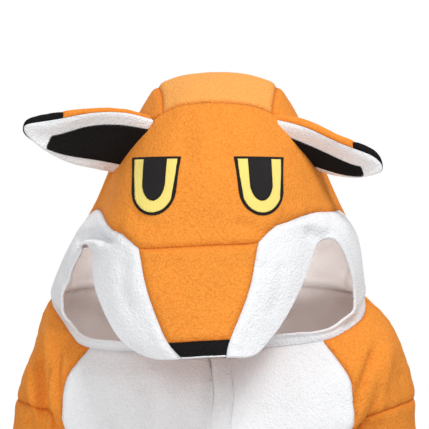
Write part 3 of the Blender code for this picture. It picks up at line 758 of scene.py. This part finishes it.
def resampled(path, step):
    """Points at an even step along a closed or open path."""
    path = np.array(path)
    gone = np.concatenate([[0], np.cumsum(np.linalg.norm(np.diff(path, axis=0), axis=1))])
    spots = np.linspace(0, gone[-1], max(int(gone[-1] / step), 2))
    return np.stack([np.interp(spots, gone, path[:, axis]) for axis in range(3)], 1)


def tube(name, path, radius, around=10):
    """A round cord of cloth along a path, closed at its ends."""
    path = np.array(path)
    tangents = np.gradient(path, axis=0)
    tangents /= np.linalg.norm(tangents, axis=1)[:, None]
    up = np.cross(tangents, (0, 1, 0))
    up /= np.linalg.norm(up, axis=1)[:, None]
    side = np.cross(tangents, up)
    turns = np.arange(around) * 2 * math.pi / around
    fade = np.sqrt(np.clip(np.minimum(np.arange(len(path)), np.arange(len(path))[::-1]) / 3 + .05, 0, 1))
    points = [spot + radius * size * (math.cos(turn) * a + math.sin(turn) * b)
              for spot, a, b, size in zip(path, up, side, fade) for turn in turns]
    faces = [[row * around + k, row * around + (k + 1) % around, (row + 1) * around + (k + 1) % around,
              (row + 1) * around + k] for row in range(len(path) - 1) for k in range(around)]
    faces += [list(range(around))[::-1], list(range(len(points) - around, len(points)))]
    return make_mesh(name, points, faces)


# ---------------------------------------------------------------- finishes

class Wire:
    """A shader socket that can be added, subtracted and multiplied like a number."""

    def __init__(self, bench, socket):
        self.bench, self.socket = bench, socket

    def maths(self, operation, first, second):
        return self.bench.node("ShaderNodeMath", {"operation": operation}, {0: first, 1: second})

    def __add__(self, other):
        return self.maths("ADD", self, other)

    def __radd__(self, other):
        return self.maths("ADD", other, self)

    def __sub__(self, other):
        return self.maths("SUBTRACT", self, other)

    def __rsub__(self, other):
        return self.maths("SUBTRACT", other, self)

    def __mul__(self, other):
        return self.maths("MULTIPLY", self, other)

    def __rmul__(self, other):
        return self.maths("MULTIPLY", other, self)


class Bench:
    """Builds one material."""

    def __init__(self, name):
        self.material = bpy.data.materials.new(name)
        self.material.use_nodes = True
        self.tree = self.material.node_tree
        self.shader = self.tree.nodes["Principled BSDF"]
        self.place = self.node("ShaderNodeTexCoord", output=3)

    def node(self, kind, given=None, sockets=None, output=0):
        """Add a node with its settings, values and links, and give back one output."""
        made = self.tree.nodes.new(kind)
        for key, value in (given or {}).items():
            setattr(made, key, value)
        for key, value in (sockets or {}).items():
            self.put(made.inputs[key], value)
        return Wire(self, made.outputs[output])

    def put(self, socket, value):
        """Link a wire to a socket, or set its value."""
        if isinstance(value, Wire):
            self.tree.links.new(value.socket, socket)
        else:
            socket.default_value = value

    def noise(self, place, scale, detail=2.0, roughness=.5):
        """Smooth noise between 0 and 1."""
        return self.node("ShaderNodeTexNoise", {}, {"Vector": place, "Scale": scale, "Detail": detail,
                                                    "Roughness": roughness})

    def seam(self):
        """How close a seam is, from 0 to 1; it weights the painted shade along the seams."""
        return self.node("ShaderNodeAttribute", {"attribute_name": "seam"}, output=2)

    def blend(self, share, first, second):
        """Mix two colours."""
        kind = {"data_type": "RGBA"}
        return self.node("ShaderNodeMix", kind, {0: share, 6: first, 7: second}, 2)

    def finish(self, colour, roughness, height, depth, **constants):
        """Feed the shader and give back the material."""
        bump = self.node("ShaderNodeBump", {}, {"Strength": 1.0, "Distance": depth, "Height": height})
        self.put(self.shader.inputs["Base Color"], colour)
        self.put(self.shader.inputs["Roughness"], roughness)
        self.put(self.shader.inputs["Normal"], bump)
        for key, value in constants.items():
            self.put(self.shader.inputs[key.replace("_", " ")], value)
        return self.material


def shade(colour, factor):
    """A colour made lighter or darker, with its fourth value."""
    return tuple(min(channel * factor, 1.0) for channel in colour) + (1.0,)


def fleece(name, colour, painted_shade_colour, nap, sheen):
    """Brushed polar fleece: pebbled nap, fine fibres, brushed patches, painted shade in the nap's
    hollows with lighter tips, and painted shade along the seams.
    """
    bench = Bench(name)
    place = bench.place
    wander = bench.node("ShaderNodeTexNoise", {}, {"Vector": place, "Scale": 160.0, "Detail": 2.0}, 1)
    bent = bench.node("ShaderNodeVectorMath", {"operation": "MULTIPLY_ADD"},
                      {0: wander, 1: (.0032, .0032, .0032), 2: place})
    pebble = bench.node("ShaderNodeTexVoronoi", {"feature": "SMOOTH_F1"},
                        {"Vector": bent, "Scale": settings().nap_scale, "Smoothness": .55})
    curl = bench.noise(bent, settings().nap_scale * 1.15, 3.0, .6)
    fibre = bench.noise(place, settings().nap_scale * 5.0, 2.0, .7)
    brushed = bench.noise(place, 17.0, 3.0, .55)
    faded = bench.noise(place, 5.0, 2.0, .5)
    seam = bench.seam()
    height = (1 - pebble) * .75 + curl * .75 + fibre * .22
    height = height * (.55 + brushed * .9)
    hollow = pebble * .55 + (1 - curl) * .45
    # painted shade: the nap's hollows are drawn towards the shade colour and its tips are made lighter
    tone = bench.blend(hollow * nap, shade(colour, 1.06), painted_shade_colour)
    tone = bench.blend((brushed * .5 + faded * .5) * .30 * nap, tone, shade(colour, .84))
    # painted shade along the seam grooves
    tone = bench.blend(seam * .42, tone, painted_shade_colour)
    rough = .84 + hollow * .12
    return bench.finish(tone, rough, height, .0007 * settings().nap_depth, Sheen_Weight=sheen,
                        Sheen_Roughness=.45, Sheen_Tint=shade(colour, 1.0), Specular_IOR_Level=.18)


def knit_back(name, colour):
    """The lining: the fleece's short, flat inner face with faint courses and painted shade along its
    seams.
    """
    bench = Bench(name)
    place = bench.place
    split = bench.node("ShaderNodeSeparateXYZ", {}, {0: place}, 2)
    course = bench.node("ShaderNodeMath", {"operation": "SINE"}, {0: split * 2600.0})
    fuzz = bench.noise(place, 700.0, 2.0, .6)
    cloud = bench.noise(place, 26.0, 3.0, .5)
    seam = bench.seam()
    tone = bench.blend(cloud * .5 + fuzz * .25, shade(colour, 1.05), shade(colour, .82))
    # painted shade along the lining's seam grooves
    tone = bench.blend(seam * .35, tone, shade(colour, .6))
    height = course * .08 + fuzz * .8 + cloud * .6
    return bench.finish(tone, .86 + fuzz * .08, height, .0004, Sheen_Weight=.25,
                        Sheen_Roughness=.5, Specular_IOR_Level=.15)


def satin(name, colour, sheen, grain):
    """Machine embroidery: close threads side by side with a soft lustre and painted shade between the
    threads.
    """
    bench = Bench(name)
    place = bench.place
    wander = bench.noise(place, 90.0, 2.0, .5)
    split = bench.node("ShaderNodeSeparateXYZ", {}, {0: place}, 0)
    row = bench.node("ShaderNodeMath", {"operation": "SINE"}, {0: split * grain + wander * 5.0})
    fuzz = bench.noise(place, 1500.0, 2.0, .6)
    cloud = bench.noise(place, 60.0, 2.0, .5)
    # painted shade: darker in the troughs between the threads, along the same rows as the bump
    tone = bench.blend((.5 - row * .5) * .35 + cloud * .30, shade(colour, 1.06), shade(colour, .74))
    return bench.finish(tone, .62 + fuzz * .2, row * .35 + fuzz * .5, .00035, Sheen_Weight=sheen,
                        Sheen_Roughness=.4, Specular_IOR_Level=.25)


def finishes():
    """The seven cloths of the costume, made once."""
    if "finishes" not in SHOP:
        own = settings()
        SHOP["finishes"] = {
            # each fleece's second colour is its painted shade colour, for the nap's hollows and the
            # seams
            "orange": fleece("orange fleece", own.orange, (.70, .150, .012, 1), 1.0, .10),
            "crown": fleece("crown fleece", own.crown, (.74, .185, .020, 1), .75, .16),
            "white": fleece("white fleece", own.white, (.66, .675, .70, 1), .36, .10),
            # the lining's grey is painted shade on the white fleece's back
            "lining": knit_back("lining", own.lining),
            "black": fleece("black fleece", own.black, (.002, .002, .002, 1), .9, .05),
            "thread": satin("black thread", own.black, .04, 5200.0),
            "yellow": satin("yellow patch", own.yellow, .15, 3900.0),
        }
    return SHOP["finishes"]


# ---------------------------------------------------------------- settings

class OnesieSettings(bpy.types.PropertyGroup):
    """Sizes and colours of the costume."""

    levels: IntProperty(name="Fineness", description="Subdivisions of the pattern's surface",
                        default=4, min=2, max=4)
    cloth: FloatProperty(name="Fleece", description="Thickness of the fleece", default=.0022,
                         unit="LENGTH")
    ear_cloth: FloatProperty(name="Ear fleece", description="Thickness of each layer of an ear",
                             default=.0016, unit="LENGTH")
    lining_cloth: FloatProperty(name="Lining", description="Thickness of the hood's lining",
                                default=.0012, unit="LENGTH")
    hem: FloatProperty(name="Hem", description="Width of the turned edges", default=.0115,
                       unit="LENGTH")
    groove: FloatProperty(name="Seam groove", description="How far seams draw the cloth in",
                          default=.0017, unit="LENGTH")
    stitch: FloatProperty(name="Stitch", description="Length of a hem stitch", default=.0028,
                          unit="LENGTH")
    nap_scale: FloatProperty(name="Nap scale", description="Nap curls in a metre", default=380.0)
    nap_depth: FloatProperty(name="Nap depth", description="Strength of the nap's relief",
                             default=1.7, subtype="FACTOR")
    orange: FloatVectorProperty(name="Orange", description="Colour of the body and face",
                                default=(1.0, .385, .058), subtype="COLOR")
    crown: FloatVectorProperty(name="Crown", description="Lighter orange of the crown strip",
                               default=(1.0, .48, .125), subtype="COLOR")
    white: FloatVectorProperty(name="White", description="Colour of the cheeks and bib",
                               default=(.88, .885, .905), subtype="COLOR")
    # the lining's colour is the white fleece's back, greyed with painted shade for the hood's dim inside
    lining: FloatVectorProperty(name="Lining colour", description="Colour of the hood's inside",
                                default=(.70, .695, .69), subtype="COLOR")
    black: FloatVectorProperty(name="Black", description="Colour of nose, ears and pupils",
                               default=(.010, .008, .008), subtype="COLOR")
    yellow: FloatVectorProperty(name="Yellow", description="Colour of the eyes",
                                default=(.93, .76, .20), subtype="COLOR")


class EyeSettings(bpy.types.PropertyGroup):
    """Sizes of an embroidered eye."""

    x: FloatProperty(name="From centre", description="Eye's middle from the nose line",
                     default=.0585, unit="LENGTH")
    top: FloatProperty(name="Top", description="Height of the straight upper edge",
                       default=.1655, unit="LENGTH")
    half: FloatProperty(name="Half width", description="Half of the upper edge", default=.0285,
                        unit="LENGTH")
    flare: FloatProperty(name="Flare", description="How much wider the top is on each side",
                         default=.0030, unit="LENGTH")
    height: FloatProperty(name="Height", description="From upper edge to lowest point",
                          default=.0665, unit="LENGTH")
    splay: FloatProperty(name="Splay", description="How far the lower end stands outward",
                         default=.0035, unit="LENGTH")
    border: FloatProperty(name="Border", description="Width of the stitched border",
                          default=.0030, unit="LENGTH")
    pupil_half: FloatProperty(name="Pupil half width", description="Half of the pupil's width",
                              default=.0132, unit="LENGTH")
    pupil_height: FloatProperty(name="Pupil height", description="Length of the pupil",
                                default=.0475, unit="LENGTH")


class StageSettings(bpy.types.PropertyGroup):
    """Camera distance and strength of the lights."""

    distance: FloatProperty(name="Distance", description="From the camera to the garment",
                            default=2.4, unit="LENGTH")
    lens: FloatProperty(name="Lens", description="Focal length in millimetres", default=168.0)
    key: FloatProperty(name="Key light", description="Soft box above, on the wearer's left",
                       default=49.0, unit="POWER")
    fill: FloatProperty(name="Fill light", description="Large soft box in front", default=30.0,
                        unit="POWER")
    rear: FloatProperty(name="Rear light", description="Large soft box behind", default=40.0,
                        unit="POWER")
    sky: FloatProperty(name="Room light", description="Strength of the white room", default=.46)
    glow: FloatProperty(name="Glow", description="Light that comes through the hood's cloth",
                        default=.40, unit="POWER")


# ---------------------------------------------------------------- steps

class Step:
    """What every step shares."""

    bl_options = {"REGISTER", "UNDO"}

    def execute(self, context):
        """Do the step; a step that fails raises an error."""
        self.make(context)
        return {"FINISHED"}


class ONESIE_OT_shell(Step, bpy.types.Operator):
    """Cut and sew the fleece panels of hood, trunk, sleeves and legs"""

    bl_idname = "onesie.shell"
    bl_label = "Sew the fleece"

    def make(self, context):
        cloth, own = garment(), settings()
        turned = 1 - smooth(cloth.edge, own.hem * .8, own.hem)
        rounded = .55 * turned
        thickness = own.cloth * (1 + rounded)
        for name in PIECE_NAMES:
            piece = cloth.shell(f"fleece_{name}", cloth.marks == name, thickness)
            dress(piece, finish_of(name), name)


class ONESIE_OT_lining(Step, bpy.types.Operator):
    """Line the hood and the back of the neck, and bind the muzzle's lower edge"""

    bl_idname = "onesie.lining"
    bl_label = "Sew the lining"

    def make(self, context):
        cloth, own = garment(), settings()
        centres = cloth.points[cloth.quads].mean(1)
        clear = cloth.edge[cloth.quads].min(1) > own.hem * .85
        neck = np.char.startswith(cloth.marks, "back") & (centres[:, 2] > -.085)
        neck |= (np.char.startswith(cloth.marks, "front") | np.char.startswith(cloth.marks, "bib")) \
            & (centres[:, 2] > -.062 + .25 * np.clip(centres[:, 1] + .1, 0, 1))
        crown = cloth.marks == "hood_crown"
        for side, sign in SIDES.items():
            own_half = np.char.find(cloth.labels, side) >= 0
            lined = own_half & (np.char.endswith(cloth.labels, ".rim")
                                | np.char.endswith(cloth.labels, ".lined") | neck)
            lined |= crown & (centres[:, 0] * sign > 0) & (centres[:, 2] < .20)
            depth = own.cloth + GAP
            piece = cloth.shell(f"lining_{side}", lined & clear, own.lining_cloth, depth)
            dress(piece, "lining", f"hood_lining_{side}")
        ring = max(loops(cloth), key=lambda way: -cloth.points[way][:, 1].min())
        low = cloth.points[ring]
        nose = np.isin(ring, cloth.quads[cloth.marks == "nose"])
        start = int(np.flatnonzero(nose & ~np.roll(nose, 1))[0])
        path = np.roll(low, -start, axis=0)[:int(nose.sum())]
        path = resampled(path + np.array((0, .0012, -.0002)), .0015)
        dress(tube("nose_binding", path, BINDING), "white")


class ONESIE_OT_ears(Step, bpy.types.Operator):
    """Sew both ears: white front, orange back, black tip and black patch"""

    bl_idname = "onesie.ears"
    bl_label = "Sew the ears"

    def make(self, context):
        hood, own = garment().tree(), settings()
        for side in SIDES:
            points, faces, labels = subdivided(*ear_cage(side), own.levels)
            for point in points:
                nearest, outward, _, _ = hood.find_nearest(Vector(point))
                short = -EAR_SUNK - (Vector(point) - nearest).dot(outward)
                point += np.array(outward) * max(short, 0)
            ear = Cloth(points, faces, labels)
            ear.sew(.0007, .0006, .0009)
            for kind in ("ear_front", "ear_back", "ear_tip"):
                name = f"{kind}_{side}"
                piece = ear.shell(f"fleece_{name}", ear.marks == name, own.ear_cloth)
                dress(piece, finish_of(name), name)
            patched = np.char.endswith(ear.labels, ".patch")
            thickness = own.ear_cloth * EAR_PATCH
            name = f"ear_patch_{side}"
            dress(ear.shell(f"fleece_{name}", patched, thickness, -thickness - GAP), "black", name)
            self.zigzag(ear, patched, side)

    def zigzag(self, ear, patched, side):
        """Black zigzag stitches round the dark patch."""
        edges = dict(open_edges(ear.quads[patched]).tolist())
        vertex = next(iter(edges))
        ring = [vertex]
        while edges[vertex] != ring[0]:
            vertex = edges[vertex]
            ring.append(vertex)
        tree = ear.tree()
        lift = settings().ear_cloth * EAR_PATCH + GAP
        path = resampled(ear.points[ring + ring[:1]], .0010)
        stitches = []
        for start, end in zip(path, path[1:]):
            _, up, _, _ = tree.find_nearest(Vector(start))
            up = np.array(up)
            across = np.cross(up, end - start)
            across /= max(np.linalg.norm(across), 1e-9)
            base = start + up * lift * .55
            stitches.append((base - across * ZIGZAG - up * lift * .45,
                             end + up * lift + across * ZIGZAG, up))
        dress(thread(f"ear_zigzag_{side}", stitches, .00038), "thread")


class ONESIE_OT_eyes(Step, bpy.types.Operator):
    """Embroider both eyes: black ground, yellow patch, black pupil and stitched borders"""

    bl_idname = "onesie.eyes"
    bl_label = "Embroider the eyes"

    def make(self, context):
        cloth, size = garment(), context.scene.onesie_eye
        face = cloth.tree("hood_face")
        inner = size.top - size.border
        layers = {"outline": (size.half, size.flare, size.top, size.height, "thread"),
                  "yellow": (size.half - size.border, size.flare, inner,
                             size.height - 2 * size.border, "yellow"),
                  "pupil": (size.pupil_half, .0004, inner, size.pupil_height, "thread")}
        for side in SIDES:
            for layer, (kind, (half, flare, top, height, finish)) in enumerate(layers.items()):
                outline = self.outline(side, half, flare, top, height)
                name = f"eye_{kind}_{side}"
                piece = self.patch(name, cloth, outline, GAP + APPLIQUE * layer)
                dress(piece, finish, name)
                if kind != "yellow":
                    width = size.border if kind == "outline" else PUPIL_BORDER
                    self.border(f"eye_{kind}_stitches_{side}", face, outline, width,
                                .0007 + APPLIQUE * layer)

    def outline(self, side, half, flare, top, height):
        """A U with a flat, slightly flared top, anticlockwise, as (x, z) points."""
        size = bpy.context.scene.onesie_eye
        lower = half - flare
        straight = .55 * height
        points = [(half, top), (lower + .35 * flare, top - .5 * straight)]
        for degrees in range(0, 181, 9):
            angle = math.radians(degrees)
            drop = straight + (height - straight) * math.sin(angle)
            points.append((lower * math.cos(angle), top - drop))
        points += [(-lower - .35 * flare, top - .5 * straight), (-half, top)]
        middle = SIDES[side] * size.x
        lean = SIDES[side] * size.splay / size.height
        return [(middle + lean * (size.top - z) + x, z) for x, z in points][::-1]

    def patch(self, name, cloth, outline, raised):
        """A thin wall cut from the face inside an outline, lying on it."""
        corners = np.array(outline)
        low, high = corners.min(0) - .008, corners.max(0) + .008
        centres = cloth.points[cloth.quads].mean(1)[:, [0, 2]]
        near = (cloth.marks == "hood_face") & (centres > low).all(1) & (centres < high).all(1)
        cut = bmesh.new()
        places = {vertex: cut.verts.new(cloth.points[vertex])
                  for vertex in np.unique(cloth.quads[near])}
        for quad in cloth.quads[near]:
            cut.faces.new([places[vertex] for vertex in quad])
        for (x, z), (next_x, next_z) in zip(outline, outline[1:] + outline[:1]):
            everything = cut.verts[:] + cut.edges[:] + cut.faces[:]
            bmesh.ops.bisect_plane(cut, geom=everything, dist=1e-6, plane_co=(x, 0, z),
                                   plane_no=(next_z - z, 0, x - next_x), clear_outer=True)
        cut.normal_update()
        for vertex in cut.verts:
            vertex.co += vertex.normal * raised
        grown = bmesh.ops.extrude_face_region(cut, geom=cut.faces[:])
        for vertex in grown["geom"]:
            if isinstance(vertex, bmesh.types.BMVert):
                vertex.co += vertex.normal * APPLIQUE
        bmesh.ops.recalc_face_normals(cut, faces=cut.faces[:])
        mesh = bpy.data.meshes.new(name)
        cut.to_mesh(mesh)
        cut.free()
        mesh.shade_smooth()
        piece = bpy.data.objects.new(f"patch_{name}", mesh)
        bpy.context.scene.collection.objects.link(piece)
        return piece

    def border(self, name, face, outline, width, raised):
        """Satin stitches side by side across an outline."""
        draw = random.Random(5)
        flat = [(x, 0, z) for x, z in outline + outline[:1]]
        path = resampled(flat, .00046)
        stitches = []
        for before, here, after in zip(path, path[1:], path[2:]):
            along = after - before
            across = np.array((-along[2], 0, along[0])) / max(np.linalg.norm(along), 1e-9)
            spots = []
            for share in (-.12 + draw.uniform(-.06, .06), .92 + draw.uniform(-.07, .07)):
                x, _, z = here + across * width * share
                spot, up, _, _ = face.ray_cast(Vector((x, -1, z)), Vector((0, 1, 0)))
                spots.append(np.array(spot) + np.array(up) * raised)
            stitches.append((spots[0], spots[1], np.array(up)))
        dress(thread(name, stitches, .00036), "thread")


class ONESIE_OT_fly(Step, bpy.types.Operator):
    """Lay the fly band over the front closing and topstitch it"""

    bl_idname = "onesie.fly"
    bl_label = "Sew the fly"

    def make(self, context):
        bib = garment().tree("bib_left", "bib_right")
        start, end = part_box("placket")
        edges = start.x - .0050, end.x + .0020
        top = max(z for z in np.arange(end.z, end.z + FLY_RISE, .0005)
                  if all(bib.ray_cast(Vector((x, -1, z)), Vector((0, 1, 0)))[0] for x in edges))
        rows = np.arange(top, start.z, -FLY_STEP)
        shares = np.linspace(0, 1, 15)
        outer, inner, stitches = [], [], []
        for z in rows:
            wave = .0016 * math.sin(z * 46) + .0010 * math.sin(z * 113 + 1)
            left = start.x - .0020 + wave
            width = end.x - start.x - .0010 + .0012 * math.sin(z * 31 + 2)
            for share in shares:
                spot, up, _, _ = bib.ray_cast(Vector((left + width * share, -1, z)), Vector((0, 1, 0)))
                swell = (1 - abs(2 * share - 1) ** 6) ** .5
                ripple = .0005 * noise.noise(Vector((share * 3, 0, z * 60)))
                outer.append(spot + up * (.0007 + .0024 * swell + ripple * swell))
                inner.append(spot + up * .0004)
        across = len(shares)
        count = len(outer)
        faces = []
        for row in range(len(rows) - 1):
            for k in range(across - 1):
                a = row * across + k
                faces.append([a, a + across, a + across + 1, a + 1])
                faces.append([a + count, a + 1 + count, a + across + 1 + count, a + across + count])
            for k, turn in ((0, 1), (across - 1, 0)):
                a = row * across + k
                wall = [a, a + count, a + across + count, a + across]
                faces.append(wall if turn else wall[::-1])
        for first, turn in ((0, 0), ((len(rows) - 1) * across, 1)):
            for k in range(across - 1):
                a = first + k
                wall = [a, a + 1, a + 1 + count, a + count]
                faces.append(wall[::-1] if turn else wall)
        dress(make_mesh("fleece_placket", outer + inner, faces, np.zeros(2 * count)), "white", "placket")
        column = across - 3
        path = resampled([outer[row * across + column] for row in range(len(rows))], .0042)
        up = np.array((0, -1.0, 0))
        stitches = [(here + (there - here) * .12 + up * .0001,
                     here + (there - here) * .88 + up * .0001, up)
                    for here, there in zip(path, path[1:])]
        dress(thread("fly_stitches", stitches, .00030), "white")


class ONESIE_OT_hems(Step, bpy.types.Operator):
    """Topstitch the hood's opening, the cuffs and the ankle hems"""

    bl_idname = "onesie.hems"
    bl_label = "Stitch the hems"

    def make(self, context):
        cloth, own = garment(), settings()
        tree = cloth.tree()
        rings = sorted(loops(cloth), key=lambda way: cloth.points[way[0]].tolist())
        for k, ring in enumerate(rings):
            rim = cloth.points[ring]
            along = np.roll(rim, -1, axis=0) - np.roll(rim, 1, axis=0)
            inward = np.cross(cloth.normals[ring], along)
            inward /= np.linalg.norm(inward, axis=1)[:, None]
            inside = rim + inward * own.hem * .92
            path = resampled(np.vstack([inside, inside[:1]]), own.stitch * 1.45)
            stitches = []
            for here, there in zip(path, path[1:]):
                if here[1] < MUZZLE_Y:
                    continue
                spots = []
                for share in (.15, .85):
                    spot, up, _, _ = tree.find_nearest(Vector(here + (there - here) * share))
                    spots.append(np.array(spot + up * .0001))
                stitches.append((*spots, np.array(up)))
            hood = rim[:, 2].mean() > -.2
            dress(thread(f"hem_stitches_{k}", stitches, .00032), "white" if hood else "orange")


class ONESIE_OT_stage(Step, bpy.types.Operator):
    """Set the floor, the room, the lights and the camera"""

    bl_idname = "onesie.stage"
    bl_label = "Set the stage"

    def make(self, context):
        own, scene = context.scene.onesie_stage, context.scene
        camera = bpy.data.objects.new("camera", bpy.data.cameras.new("camera"))
        camera.data.lens, camera.data.sensor_width = own.lens, 36.0
        camera.location = (.008, -own.distance, .10)
        camera.rotation_euler = (math.radians(90), 0, 0)
        scene.collection.objects.link(camera)
        scene.camera = camera
        floor = bmesh.new()
        bmesh.ops.create_circle(floor, cap_ends=True, segments=96, radius=8.0)
        mesh = bpy.data.meshes.new("floor")
        floor.to_mesh(mesh)
        floor.free()
        ground = bpy.data.objects.new("floor", mesh)
        ground.location.z = CAD_BOX[0].z - FLOOR_DROP
        bench = Bench("pale floor")
        cloud = bench.noise(bench.place, 3.0, 3.0, .5)
        tone = bench.blend(cloud, (.86, .86, .86, 1), (.80, .80, .80, 1))
        mesh.materials.append(bench.finish(tone, .7 + cloud * .1, cloud, .0004))
        scene.collection.objects.link(ground)
        self.light("key", own.key, 1.0, (1.15, -1.25, 2.30), (0, -.05, .05))
        self.light("fill", own.fill, 2.4, (-1.05, -2.6, .60), (0, 0, .0))
        self.light("rear", own.rear, 2.4, (-.8, 3.0, 1.30), (0, 0, -.3))
        glow = self.light("glow", own.glow, .09, (.004, -.030, .105), (.004, .10, .02))
        glow.visible_camera = False
        room = bpy.data.worlds.new("room")
        room.use_nodes = True
        nodes, links = room.node_tree.nodes, room.node_tree.links
        back = nodes["Background"]
        back.inputs["Color"].default_value = (1.0, 1.0, 1.0, 1.0)
        back.inputs["Strength"].default_value = own.sky
        seen = nodes.new("ShaderNodeBackground")
        seen.inputs["Color"].default_value = (1.0, 1.0, 1.0, 1.0)
        mix, path = nodes.new("ShaderNodeMixShader"), nodes.new("ShaderNodeLightPath")
        links.new(path.outputs["Is Camera Ray"], mix.inputs["Fac"])
        links.new(back.outputs[0], mix.inputs[1])
        links.new(seen.outputs[0], mix.inputs[2])
        links.new(mix.outputs[0], nodes["World Output"].inputs["Surface"])
        scene.world = room
        scene.view_settings.view_transform = "Standard"

    def light(self, name, power, size, place, aim):
        """A square soft box that looks at a point."""
        lamp = bpy.data.lights.new(name, "AREA")
        lamp.energy, lamp.size = power, size
        box = bpy.data.objects.new(name, lamp)
        box.location = place
        box.rotation_euler = (Vector(aim) - Vector(place)).to_track_quat("-Z", "Y").to_euler()
        bpy.context.scene.collection.objects.link(box)
        return box


STEPS = (ONESIE_OT_shell, ONESIE_OT_lining, ONESIE_OT_ears, ONESIE_OT_eyes, ONESIE_OT_fly,
         ONESIE_OT_hems, ONESIE_OT_stage)
GROUPS = {"onesie": OnesieSettings, "onesie_eye": EyeSettings, "onesie_stage": StageSettings}


class ONESIE_PT_panel(bpy.types.Panel):
    """The steps of the costume and their settings"""

    bl_label = "Fox onesie"
    bl_space_type = "VIEW_3D"
    bl_region_type = "UI"
    bl_category = "Onesie"

    def draw(self, context):
        for name, group in GROUPS.items():
            box = self.layout.box()
            for entry in group.__annotations__:
                box.prop(getattr(context.scene, name), entry)
        for step in STEPS:
            self.layout.operator(step.bl_idname)


def register():
    for cls in (*GROUPS.values(), *STEPS, ONESIE_PT_panel):
        bpy.utils.register_class(cls)
    for name, group in GROUPS.items():
        setattr(bpy.types.Scene, name, PointerProperty(type=group))


def unregister():
    for name in GROUPS:
        delattr(bpy.types.Scene, name)
    for cls in (ONESIE_PT_panel, *STEPS[::-1], *list(GROUPS.values())[::-1]):
        bpy.utils.unregister_class(cls)


def main():
    """Make every piece in order."""
    register()
    for step in STEPS:
        group, name = step.bl_idname.split(".")
        getattr(getattr(bpy.ops, group), name)()


if __name__ == "__main__":
    main()
